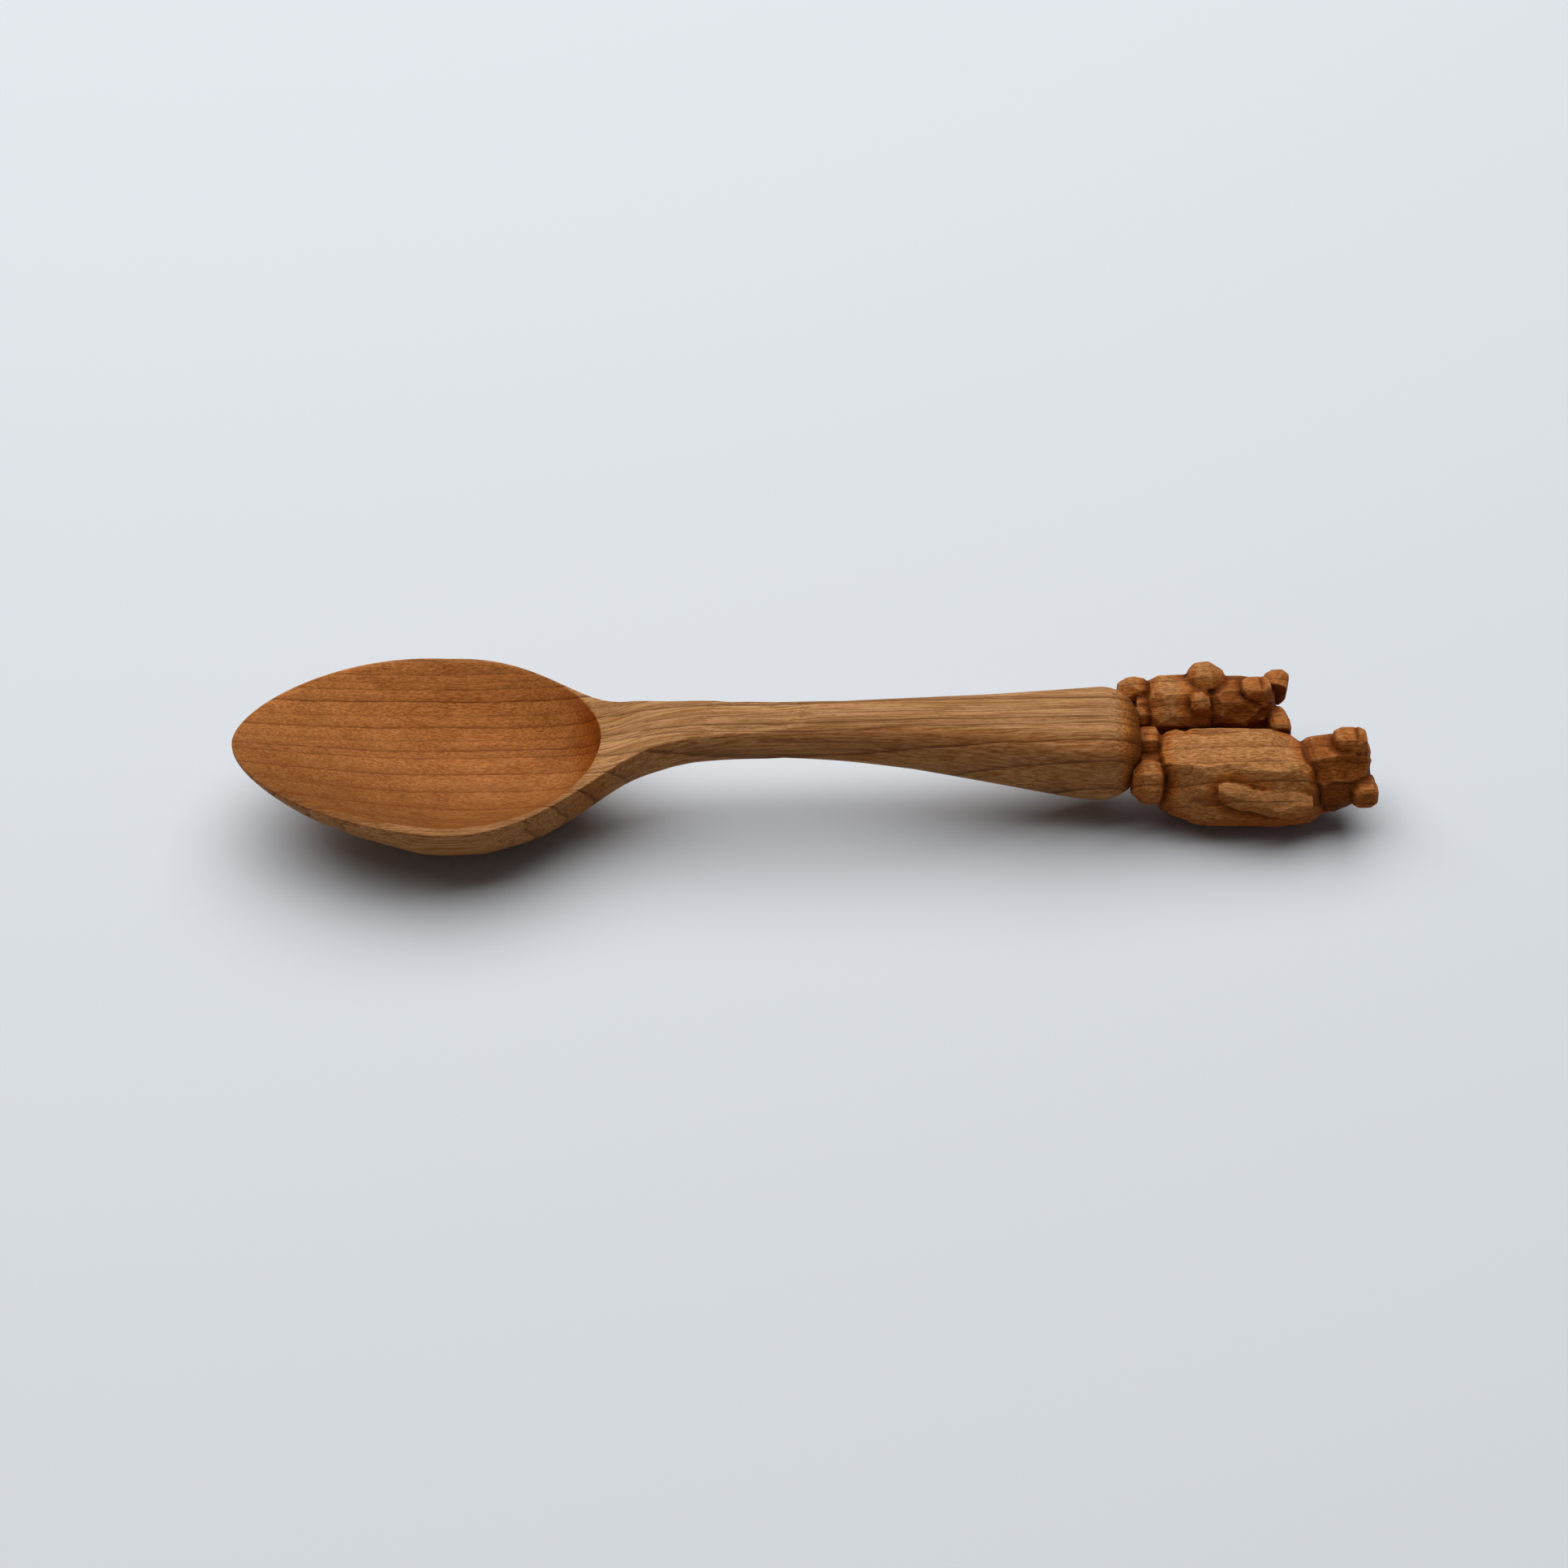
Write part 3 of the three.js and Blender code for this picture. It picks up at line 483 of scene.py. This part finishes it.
# Painted light in the hollow: the scale on the near wall's colour and on the far wall's.
FAR_WALL_PAINTED_LIGHT_GAIN = (0.58, 1.4)
OIL_GLOW = (0.92, 0.68, 0.4)
OIL_STAIN = (0.44, 0.27, 0.12)
GLOW_RANGE = (0.0, 0.5)
STAIN_RANGE = (0.35, 1.0)
SPECKLE_RANGE = (0.36, 0.64)
FIBRE_RANGE = (0.38, 0.6)
BAND_RANGE = (0.4, 0.68)
SPECKLE_SHADE = 0.55
SHADE_RANGE, OTHER_SHADES = (0.34, 0.66), {"Fibre": 0.2, "Mottle": 0.25}
# The painted shade at the bottoms of the cuts is broken into patches by the mottle, between these shares.
PATCHY_SHADE_RANGE, PATCHY_SHADE_SHARE = (0.4, 0.6), (0.45, 1.0)
SCRAPER_DULLS = 0.45
FLECK_SHARE = 0.4
LINE_SHARE = 0.85
PORE_SHARE = 0.4
# Painted highlight on ridges and on the mother's arm where they face up.
PAINTED_HIGHLIGHT_SHARE = 0.4
# Painted shade, with oil, in the cuts and where pieces meet; darkest, and patchy, at the cut bottoms.
CREASE_SHARE = 0.85
CUT_BOTTOM_SHADE = 0.22
OIL_GLOSS = 0.06
ROUGH_FIBRE, WOOD_ROUGHNESS = (0.2, 0.8), (0.44, 0.6)
RELIEF_DEPTH = 0.15 * MM
RELIEF_STRENGTH = 0.5
RIB_SHARE = 0.5


def oiled_wood(name, pale, dark, crease, line, bands, short_fibres):
    """Oiled cherry: pale and streaky where the knife left it, richer where scraped, red-brown in the cuts
    from oil and painted shade, with painted light on the hollow's walls and the near bevel and a painted
    highlight on upturned ridges.
    """
    material = bpy.data.materials.new(name)
    material.use_nodes = True
    tree = material.node_tree
    shader = tree.nodes["Principled BSDF"]
    timber_figure = tree.nodes.new("ShaderNodeGroup")
    timber_figure.node_tree = timber
    figure = timber_figure.outputs
    smooth = mask_of(tree, "scraped")
    rough_cut = maths(tree, "SUBTRACT", 1.0, maths(tree, "MULTIPLY", smooth, SCRAPER_DULLS))

    def left_by_knife(mark, share):
        """A mark's share of the colour, less where the scraper went."""
        return maths(tree, "MULTIPLY", maths(tree, "MULTIPLY", mark, share), rough_cut)

    speckle = ranged(tree, figure["Speckle"], *SPECKLE_RANGE)
    grain = maths(tree, "MULTIPLY", ranged(tree, figure["Fibre"], *FIBRE_RANGE), 1 - short_fibres)
    grain = maths(tree, "ADD", grain, maths(tree, "MULTIPLY", speckle, short_fibres))
    bare = mixed(tree, grain, dark, pale)
    shade = maths(tree, "MULTIPLY", speckle, SPECKLE_SHADE)
    for part, share in OTHER_SHADES.items():
        shade = maths(tree, "ADD", shade, ranged(tree, figure[part], *SHADE_RANGE, 0, share))
    # Painted light: the hollow is made darker on the near wall and lighter on the far wall.
    wall_painted_light = ranged(tree, mask_of(tree, "far_wall_painted_light"), 0.0, 1.0, *FAR_WALL_PAINTED_LIGHT_GAIN)
    rubbed = place_maths(tree, "SCALE", mixed(tree, shade, RUBBED_DARK, RUBBED_PALE), wall_painted_light)
    colour = mixed(tree, smooth, bare, rubbed)
    colour = mixed(tree, left_by_knife(ranged(tree, figure["Band"], *BAND_RANGE), bands), colour, dark)
    colour = mixed(tree, left_by_knife(figure["Flecks"], FLECK_SHARE), colour, pale)
    growth_line = maths(tree, "MULTIPLY", figure["Growth Line"], LINE_SHARE)
    colour = mixed(tree, growth_line, colour, mixed(tree, smooth, line, RUBBED_LINE))
    colour = mixed(tree, left_by_knife(figure["Pores"], PORE_SHARE), colour, line)
    # Painted light: the near bevel of the neck and handle is made lighter and warmer.
    colour = mixed(tree, mask_of(tree, "near_bevel_painted_light"), colour, NEAR_BEVEL_PAINTED_LIGHT, "MULTIPLY")
    # The oil mask carries real oil and, on the bears, painted light on faces that look up and painted shade
    # on faces that look down.
    oil = mask_of(tree, "oil")
    stain = mixed(tree, ranged(tree, oil, *STAIN_RANGE), OIL_GLOW, OIL_STAIN)
    colour = mixed(tree, ranged(tree, oil, *GLOW_RANGE), colour, stain, "MULTIPLY")
    # Painted highlight: upturned ridges and the mother's arm are made paler.
    colour = mixed(tree, maths(tree, "MULTIPLY", mask_of(tree, "painted_highlight"), PAINTED_HIGHLIGHT_SHARE), colour, pale)
    # Painted shade, with oil, in the cuts and where pieces meet.
    colour = mixed(tree, maths(tree, "MULTIPLY", mask_of(tree, "crease"), CREASE_SHARE), colour, crease)
    # Painted shade at the bottoms of the cuts, broken into patches.
    patchy_shade = ranged(tree, figure["Mottle"], *PATCHY_SHADE_RANGE, *PATCHY_SHADE_SHARE)
    cut_bottom = maths(tree, "MULTIPLY", mask_of(tree, "incised"), patchy_shade)
    colour = mixed(tree, cut_bottom, colour, tuple(CUT_BOTTOM_SHADE * part for part in crease))
    feed(tree, colour, shader.inputs["Base Color"])
    roughness = ranged(tree, figure["Fibre"], *ROUGH_FIBRE, *WOOD_ROUGHNESS)
    feed(tree, roughness, shader.inputs["Roughness"])
    shader.inputs["Specular IOR Level"].default_value = OIL_GLOSS
    ribs = maths(tree, "MULTIPLY", maths(tree, "MULTIPLY", figure["Scraper Ribs"], smooth), RIB_SHARE)
    relief = maths(tree, "SUBTRACT", figure["Fibre"], maths(tree, "MULTIPLY", figure["Pores"], PORE_SHARE))
    relief = maths(tree, "ADD", maths(tree, "MULTIPLY", relief, rough_cut), ribs)
    bump = tree.nodes.new("ShaderNodeBump")
    bump.inputs["Strength"].default_value = RELIEF_STRENGTH
    bump.inputs["Distance"].default_value = RELIEF_DEPTH
    feed(tree, relief, bump.inputs["Height"])
    feed(tree, bump.outputs["Normal"], shader.inputs["Normal"])
    return material


spoon.data.materials.append(oiled_wood(
    "oiled_spoon_wood", pale=(0.58, 0.31, 0.138), dark=(0.28, 0.112, 0.027), crease=(0.17, 0.042, 0.006),
    line=(0.11, 0.036, 0.008), bands=0.5, short_fibres=0.15))
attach(spoon, "root")
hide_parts("bowl", "handle")


# Mother bear. Whittled from the same billet, standing on the end of the handle: every limb is parted from
# its neighbour by a stop cut, and the flats of the knife are left on the back, belly and head.
SKIN_VOXEL = 0.2 * MM
SKIN_SMOOTHINGS = 2
CLOSING = 0.2 * MM
UNEVENNESS = 0.13 * MM
LUMP_SIZE = 2.6 * MM


def neighbours_of(mesh):
    """Pairs of points joined by an edge, both ways round, and how many each point has."""
    edges = np.zeros(len(mesh.edges) * 2, np.int64)
    mesh.edges.foreach_get("vertices", edges)
    edges = edges.reshape(-1, 2)
    start = np.concatenate([edges[:, 0], edges[:, 1]])
    end = np.concatenate([edges[:, 1], edges[:, 0]])
    return start, end, np.bincount(start, minlength=len(mesh.vertices))


def averaged(values, ring):
    """Each point's value as the mean over its neighbours."""
    start, end, count = ring
    if values.ndim == 1:
        return np.bincount(start, values[end], len(count)) / count
    return np.stack([np.bincount(start, column[end], len(count)) / count for column in values.T], axis=1)


def places_of(mesh):
    """Every point's place, in metres."""
    found = np.zeros(len(mesh.vertices) * 3)
    mesh.vertices.foreach_get("co", found)
    return found.reshape(-1, 3)


def normals_of(mesh):
    """The direction that the skin faces at every point."""
    found = np.zeros(len(mesh.vertices) * 3, np.float32)
    mesh.vertex_normals.foreach_get("vector", found)
    return found.reshape(-1, 3).astype(float)


def set_places(mesh, places):
    """Moves every point to its new place, in metres."""
    mesh.vertices.foreach_set("co", places.astype(np.float32).ravel())
    mesh.update()


def carved_skin(name, nodes):
    """One skin over a figure's parts: the parts are swollen till they meet, skinned and drawn in again."""
    parts = []
    for node in nodes:
        part = bpy.data.objects.new(node + "_part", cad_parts[node].data.copy())
        bpy.context.scene.collection.objects.link(part)
        set_places(part.data, places_of(part.data) + normals_of(part.data) * CLOSING)
        parts.append(part)
    with bpy.context.temp_override(
            active_object=parts[0], selected_objects=parts, selected_editable_objects=parts):
        bpy.ops.object.join()
    figure = parts[0]
    figure.name = name
    figure.data.name = name
    figure.data.materials.clear()
    skin = figure.modifiers.new("skin", "REMESH")
    skin.mode = "VOXEL"
    skin.voxel_size = SKIN_VOXEL
    bpy.context.view_layer.update()
    evaluated = figure.evaluated_get(bpy.context.evaluated_depsgraph_get())
    mesh = bpy.data.meshes.new_from_object(evaluated)
    figure.modifiers.clear()
    figure.data = mesh
    ring = neighbours_of(mesh)
    places = places_of(mesh)
    for _ in range(SKIN_SMOOTHINGS):
        places = 0.5 * places + 0.5 * averaged(places, ring)
    set_places(mesh, places)
    lumps = np.array([noise.noise(Vector(point) / LUMP_SIZE) for point in places])
    set_places(mesh, places + normals_of(mesh) * (UNEVENNESS * lumps - CLOSING)[:, None])
    mesh.shade_smooth()
    return figure


def tree_of(mesh):
    """The mesh's faces sorted for finding the nearest one."""
    corners = [corner.co for corner in mesh.vertices]
    return BVHTree.FromPolygons(corners, [face.vertices for face in mesh.polygons])


def parts_at(figure, nodes):
    """The kind of part that lies nearest to each point: body, head, ear and so on."""
    trees = [(node.rsplit("_", 1)[1], tree_of(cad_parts[node].data)) for node in nodes]
    return [min(trees, key=lambda part: part[1].find_nearest(corner.co)[3])[0]
            for corner in figure.data.vertices]


SEAM_SOFTENINGS = 8


def by_part(mesh, kinds, shares):
    """A number for each point by the kind of part it belongs to, softened at the seams."""
    found = np.array([shares[kind] for kind in kinds])
    ring = neighbours_of(mesh)
    for _ in range(SEAM_SOFTENINGS):
        found = 0.5 * found + 0.5 * averaged(found, ring)
    return found


def hollowness(mesh, spread):
    """How far each point lies in from the points round it: positive in cuts, negative on ridges."""
    ring = neighbours_of(mesh)
    places = places_of(mesh)
    hollow = np.einsum("ij,ij->i", averaged(places, ring) - places, normals_of(mesh)) / SKIN_VOXEL
    for _ in range(spread):
        hollow = 0.4 * hollow + 0.6 * averaged(hollow, ring)
    return hollow


# The knife's strokes, in millimetres: half lengths, half widths and depths are drawn from these ranges.
# How much of a full stroke each kind of part can take is a share, as paws and ears would be cut away by
# more. A stroke is left out where it meets wood that stands too proud, or where it would end in a step.
STROKE_LENGTH = (3.0, 7.5)
STROKE_WIDTH = (1.4, 3.4)
STROKE_DEPTH = (0.2, 0.6)
STROKE_SLANT = 0.5
STROKE_TILT = 0.08
STROKE_SHARE = {"body": 1.0, "head": 0.8, "arm": 0.5, "foot": 0.3, "paw": 0.3, "ear": 0.3, "muzzle": 0.3}
OPEN_FLAT_SHARE = 0.25
SAME_SIDE = 0.3
FACES_KNIFE = 0.4
STROKE_ROOM = 2.0
SAME_PART = 0.18
TOO_PROUD = 0.5
RUN_OUT = 0.8
STEP_LEFT = 0.3
RIDGE_SPREAD = 10
RIDGE_BEND = 0.04


def whittle(mesh, kinds, strokes, seed):
    """Takes scoops off a figure, ridges first, each as long as a knife stroke and mostly with the grain."""
    draw = np.random.default_rng(seed)
    places, normals = places_of(mesh) / MM, normals_of(mesh)
    share = by_part(mesh, kinds, STROKE_SHARE)
    wanted = OPEN_FLAT_SHARE + eased(0.0, RIDGE_BEND, -hollowness(mesh, RIDGE_SPREAD))
    for middle in draw.choice(len(places), strokes, replace=False, p=wanted / wanted.sum()):
        length = draw.uniform(*STROKE_LENGTH) * share[middle]**0.5
        width = draw.uniform(*STROKE_WIDTH) * share[middle]**0.5
        depth = draw.uniform(*STROKE_DEPTH) * share[middle]
        slant = draw.uniform(-STROKE_SLANT, STROKE_SLANT)
        tilt = draw.normal(0, STROKE_TILT, 3)
        away = places - places[middle]
        beside = np.einsum("ij,ij->i", away, away) < width**2
        beside = beside & (normals @ normals[middle] > SAME_SIDE)
        facing = normals[beside].mean(axis=0) + tilt
        facing = facing / np.linalg.norm(facing)
        along = np.array([math.cos(slant), math.sin(slant), 0])
        along = along - facing * (along @ facing)
        along = along / np.linalg.norm(along)
        height = away @ facing
        spread = (away @ along / length) ** 2 + (away @ np.cross(facing, along) / width) ** 2
        scoop = depth * (spread - 1)
        inside = (spread < 1) & (normals @ facing > FACES_KNIFE) & (np.abs(height) < STROKE_ROOM)
        inside = inside & (np.abs(share - share[middle]) < SAME_PART)
        if (height[inside] > TOO_PROUD).any():
            continue
        cut = inside & (height > scoop)
        if (height[cut & (spread > RUN_OUT)] > STEP_LEFT).any():
            continue
        places[cut] = places[cut] - np.outer(height[cut] - scoop[cut], facing)
    places[:, 2] = np.maximum(places[:, 2], 0)
    set_places(mesh, places * MM)


def only(part, share=1.0):
    """That share on one kind of part and nothing on the others."""
    return {kind: share if kind == part else 0.0 for kind in STROKE_SHARE}


# Her arm slopes out towards its lower edge, so that its upper flat catches the light.
ARM_SLOPE = 1.8 * MM
ARM_SLOPE_ENDS = (-0.1, 0.5)
MOTHER_STROKES = 150
MOTHER_SEED = 21
MOTHER_NODES = ["mother_body", "mother_head", "mother_muzzle", "mother_near_ear", "mother_far_ear",
                "mother_near_arm", "mother_near_foot", "mother_far_foot"]
mother = carved_skin("mother_bear", MOTHER_NODES)
mother_kinds = parts_at(mother, MOTHER_NODES)
arm = by_part(mother.data, mother_kinds, only("arm"))
places = places_of(mother.data)
arm_heights = places[arm > 0.5, 2]
below_middle = (arm_heights.mean() - places[:, 2]) / np.ptp(arm_heights)
places[:, 1] = places[:, 1] - ARM_SLOPE * arm * np.clip(below_middle, *ARM_SLOPE_ENDS)
set_places(mother.data, places)
whittle(mother.data, mother_kinds, MOTHER_STROKES, MOTHER_SEED)
bear_wood = oiled_wood(
    "oiled_bear_wood", pale=(0.59, 0.27, 0.098), dark=(0.27, 0.09, 0.014), crease=(0.17, 0.042, 0.005),
    line=(0.15, 0.045, 0.009), bands=0.15, short_fibres=0.75)
mother.data.materials.append(bear_wood)
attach(mother, "root")
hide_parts(*MOTHER_NODES)


# Cub. Carved beside the mother from the same wood, leaning on her with its paws on its chest, and parted
# from her and from the handle's end by stop cuts alone.
CUB_STROKES = 100
CUB_SEED = 11
CUB_NODES = ["cub_body", "cub_head", "cub_muzzle", "cub_near_ear", "cub_far_ear", "cub_near_paw",
             "cub_far_paw", "cub_near_foot", "cub_far_foot"]
cub = carved_skin("cub", CUB_NODES)
cub_kinds = parts_at(cub, CUB_NODES)
whittle(cub.data, cub_kinds, CUB_STROKES, CUB_SEED)
cub.data.materials.append(bear_wood)
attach(cub, "root")
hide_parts(*CUB_NODES)


# Oil and painted shade in the cuts. Oil was wiped on after the carving and has darkened in every stop cut,
# and most where a figure meets the handle or the other figure; the cuts and these meetings are also darkened
# as painted shade. End grain drinks more of the oil than the long flats do, and the figures' knobs are nearly
# all end grain; the mother's arm is painted pale as a painted highlight.
OIL_REACH = 1.6 * MM
OIL_CREEP = 2.8 * MM
OIL_CREEP_BEND = 1.3
WET = 0.55
END_GRAIN = (0.15, 0.75)
SOAKED = {"head": 1.0, "ear": 0.5, "muzzle": 0.45, "foot": 0.2, "paw": 0.1, "arm": 0.0, "body": 0.0}
CREEPS = {"head": 1.0, "ear": 0.9, "muzzle": 0.7, "foot": 0.8, "paw": 0.6, "arm": 0.0, "body": 0.85}
# The mother's arm gets a painted highlight on its upper flat.
ARM_HIGHLIGHT = only("arm", 0.4)
MOTHER_WETTEST = 1.0
CUB_WETTEST = 0.9


def nearness(piece, others):
    """1 where another piece touches this one, falling to 0 at the reach of the oil."""
    near = np.zeros(len(piece.data.vertices))
    for other in others:
        tree = tree_of(other.data)
        for index, corner in enumerate(piece.data.vertices):
            found = tree.find_nearest(corner.co, OIL_REACH)
            if found[0] is not None:
                near[index] = max(near[index], 1 - found[3] / OIL_REACH)
    return near


def spread_from(mesh, cuts):
    """1 in the cuts, falling to 0 as far from them as the oil crept."""
    wet = np.flatnonzero(cuts > WET)
    tree = KDTree(len(wet))
    for index in wet:
        tree.insert(mesh.vertices[index].co, int(index))
    tree.balance()
    distance = np.array([tree.find(corner.co)[2] for corner in mesh.vertices])
    return (1 - np.clip(distance / OIL_CREEP, 0, 1)) ** OIL_CREEP_BEND


def end_grain(mesh):
    """1 on faces across the grain, 0 on faces along it."""
    return eased(*END_GRAIN, np.abs(normals_of(mesh)[:, 0]))


# Side by side the pieces all but touch, as the cuts between them close towards the bottom.
CUT_CLOSING = 0.15 * MM
touching = {piece: nearness(piece, [other for other in (spoon, mother, cub) if other is not piece])
            for piece in (spoon, mother, cub)}
for figure in (mother, cub):
    closer = places_of(figure.data) + normals_of(figure.data) * (CUT_CLOSING * touching[figure])[:, None]
    closer[:, 2] = np.maximum(closer[:, 2], 0)
    set_places(figure.data, closer)

# On the spoon, oil sits in the end grain by the bears and at the steep end of the hollow. The near bevel
# of the neck and handle is painted lighter and warmer, as painted light on the side the lamp leaves dim.
# Places are in millimetres from the neck.
BEAR_END, BEAR_END_OIL = (70, 80), 0.8
HOLLOW_END_STARTS, HOLLOW_END_STOPS, HOLLOW_END_OIL = (-13, -7), (-5, -3), 0.4
BEVEL_ACROSS = (0.35, 0.8)
BEVEL_UPWARD = (-0.2, 0.3)
BEVEL_STARTS = (-14, 0)
# Painted shade on the spoon where the bears meet it.
save_mask(spoon, "crease", touching[spoon])
along_spoon = places_of(spoon.data)[:, 0] / MM - NECK_PLACE
cut_ends = BEAR_END_OIL * eased(*BEAR_END, along_spoon)
hollow_end = eased(*HOLLOW_END_STARTS, along_spoon) * (1 - eased(*HOLLOW_END_STOPS, along_spoon))
cut_ends = cut_ends + HOLLOW_END_OIL * hollow_end
save_mask(spoon, "oil", end_grain(spoon.data) * cut_ends)
across, upward = normals_of(spoon.data)[:, 1:].T
bevel = eased(*BEVEL_ACROSS, -across) * eased(*BEVEL_UPWARD, upward)
# Painted light on the near bevel of the neck and handle.
save_mask(spoon, "near_bevel_painted_light", bevel * eased(*BEVEL_STARTS, along_spoon))

# On the bears, oil is in the cuts and creeps out of them; the cuts are also darkened as painted shade,
# upturned ridges and the mother's arm get a painted highlight, faces that look up are painted lighter and
# faces that look down are painted darker.
CUT_BEND = (0.004, 0.05)
CUT_BOTTOM_BEND = (0.03, 0.13)
CUT_SPREAD_STEPS = 14
BOTTOM_SPREAD_STEPS = 3
RIDGE_SPREAD_STEPS = 12
HIGHLIGHT_UPWARD = (0.0, 0.6)
# Painted light and shade by facing: faces that look up take less of the oil colour, faces that look down take
# more.
TOP_PAINTED_LIGHT = 0.3
END_GRAIN_OIL = 0.5
UNDERSIDE = (-0.1, 0.5)
UNDERSIDE_PAINTED_SHADE = 0.5
for figure, kinds, wettest in ((mother, mother_kinds, MOTHER_WETTEST), (cub, cub_kinds, CUB_WETTEST)):
    upward = normals_of(figure.data)[:, 2]
    own_cuts = eased(*CUT_BEND, hollowness(figure.data, CUT_SPREAD_STEPS))
    # Painted shade, with oil, in the cuts and where the pieces meet.
    save_mask(figure, "crease", np.maximum(own_cuts, touching[figure] ** 2))
    # Painted shade at the bottoms of the cuts.
    save_mask(figure, "incised", eased(*CUT_BOTTOM_BEND, hollowness(figure.data, BOTTOM_SPREAD_STEPS)))
    ridges = eased(*CUT_BEND, -hollowness(figure.data, RIDGE_SPREAD_STEPS))
    ridges = np.maximum(ridges, by_part(figure.data, kinds, ARM_HIGHLIGHT))
    # Painted highlight on ridges and the arm, in step with how far they face up.
    save_mask(figure, "painted_highlight", ridges * eased(*HIGHLIGHT_UPWARD, upward))
    oil = np.maximum(by_part(figure.data, kinds, SOAKED), END_GRAIN_OIL * end_grain(figure.data))
    # Painted light: faces that look up are made lighter.
    oil = oil * (1 - TOP_PAINTED_LIGHT * np.clip(upward, 0, 1))
    # Painted shade: faces that look down are darkened with the oil colours.
    oil = np.maximum(oil, UNDERSIDE_PAINTED_SHADE * eased(*UNDERSIDE, -upward))
    crept = spread_from(figure.data, np.maximum(own_cuts, touching[figure]))
    oil = np.maximum(oil, by_part(figure.data, kinds, CREEPS) * crept)
    # The mask holds the oil together with this painted light and shade.
    save_mask(figure, "oil", np.minimum(oil, wettest))


# Table. A plain pale sheet that the spoon lies on, wide enough to fill the picture. What it throws back
# onto the wood is warmer and darker than what the eye sees of it.
TABLE_HALF = 3.0
TABLE_SEEN = (0.70, 0.735, 0.775)
TABLE_BOUNCE = (0.5, 0.45, 0.39)
TABLE_ROUGHNESS = 0.8
table_mesh = bpy.data.meshes.new("table")
table_mesh.from_pydata(
    [(-TABLE_HALF, -TABLE_HALF, 0), (TABLE_HALF, -TABLE_HALF, 0), (TABLE_HALF, TABLE_HALF, 0),
     (-TABLE_HALF, TABLE_HALF, 0)], [], [(0, 1, 2, 3)])
table = bpy.data.objects.new("table", table_mesh)
bpy.context.scene.collection.objects.link(table)
paper = bpy.data.materials.new("pale_table")
paper.use_nodes = True
sheet = paper.node_tree.nodes["Principled BSDF"]
light_path = paper.node_tree.nodes.new("ShaderNodeLightPath")
seen = light_path.outputs["Is Camera Ray"]
for ray in ("Is Glossy Ray", "Is Transmission Ray"):
    seen = maths(paper.node_tree, "MAXIMUM", seen, light_path.outputs[ray])
feed(paper.node_tree, mixed(paper.node_tree, seen, TABLE_BOUNCE, TABLE_SEEN), sheet.inputs["Base Color"])
sheet.inputs["Roughness"].default_value = TABLE_ROUGHNESS
table_mesh.materials.append(paper)


# Light. A wide soft box hangs above and behind the spoon, a little towards the bowl, and aims at the middle
# of the spoon; a faint even glow comes from all round. Sizes and places are in metres.
BOX_WIDTH = 2.1
BOX_DEPTH = 1.7
BOX_HEIGHT = 1.2
BOX_BEHIND = 0.46
BOX_ASIDE = -0.12
BOX_POWER = 28.0
ROOM_COLOUR = (0.95, 0.98, 1, 1)
ROOM_GLOW = 0.065
lamp = bpy.data.lights.new("soft_box", "AREA")
lamp.shape = "RECTANGLE"
lamp.size = BOX_WIDTH
lamp.size_y = BOX_DEPTH
lamp.energy = BOX_POWER
soft_box = bpy.data.objects.new("soft_box", lamp)
soft_box.location = (BOX_ASIDE, BOX_BEHIND, BOX_HEIGHT)
soft_box.rotation_euler = soft_box.location.to_track_quat("Z", "Y").to_euler()
bpy.context.scene.collection.objects.link(soft_box)
world = bpy.data.worlds.new("room")
world.use_nodes = True
world.node_tree.nodes["Background"].inputs["Color"].default_value = ROOM_COLOUR
world.node_tree.nodes["Background"].inputs["Strength"].default_value = ROOM_GLOW
bpy.context.scene.world = world


# Camera. It looks down at 45 degrees, from a shade to the bowl's side, at a point in the handle. That
# point lies off the middle of the picture by the two offsets, in metres across and up.
IMAGE_PIXELS = 1932
FOCAL_PIXELS = 4024
SENSOR = 36.0
CAMERA_TURN = math.radians(-1.46)
CAMERA_HEIGHT = math.radians(45)
SIGHTED = Vector((NECK_PLACE + 32.3, 0, 11.98)) * MM
SIGHTED_OFF = (0.003563, 0.005032)
SIGHTED_DISTANCE = 0.60913
back = Vector((math.sin(CAMERA_TURN) * math.cos(CAMERA_HEIGHT),
               -math.cos(CAMERA_TURN) * math.cos(CAMERA_HEIGHT),
               math.sin(CAMERA_HEIGHT)))
right = Vector((math.cos(CAMERA_TURN), math.sin(CAMERA_TURN), 0))
up = back.cross(right)
lens = bpy.data.cameras.new("camera")
lens.sensor_width = SENSOR
lens.lens = SENSOR * FOCAL_PIXELS / IMAGE_PIXELS
camera = bpy.data.objects.new("camera", lens)
camera.matrix_world = Matrix.Translation(
    SIGHTED - right * SIGHTED_OFF[0] - up * SIGHTED_OFF[1] + back * SIGHTED_DISTANCE
) @ Matrix((right, up, back)).transposed().to_4x4()
bpy.context.scene.collection.objects.link(camera)
bpy.context.scene.camera = camera
bpy.context.scene.view_settings.view_transform = "Standard"
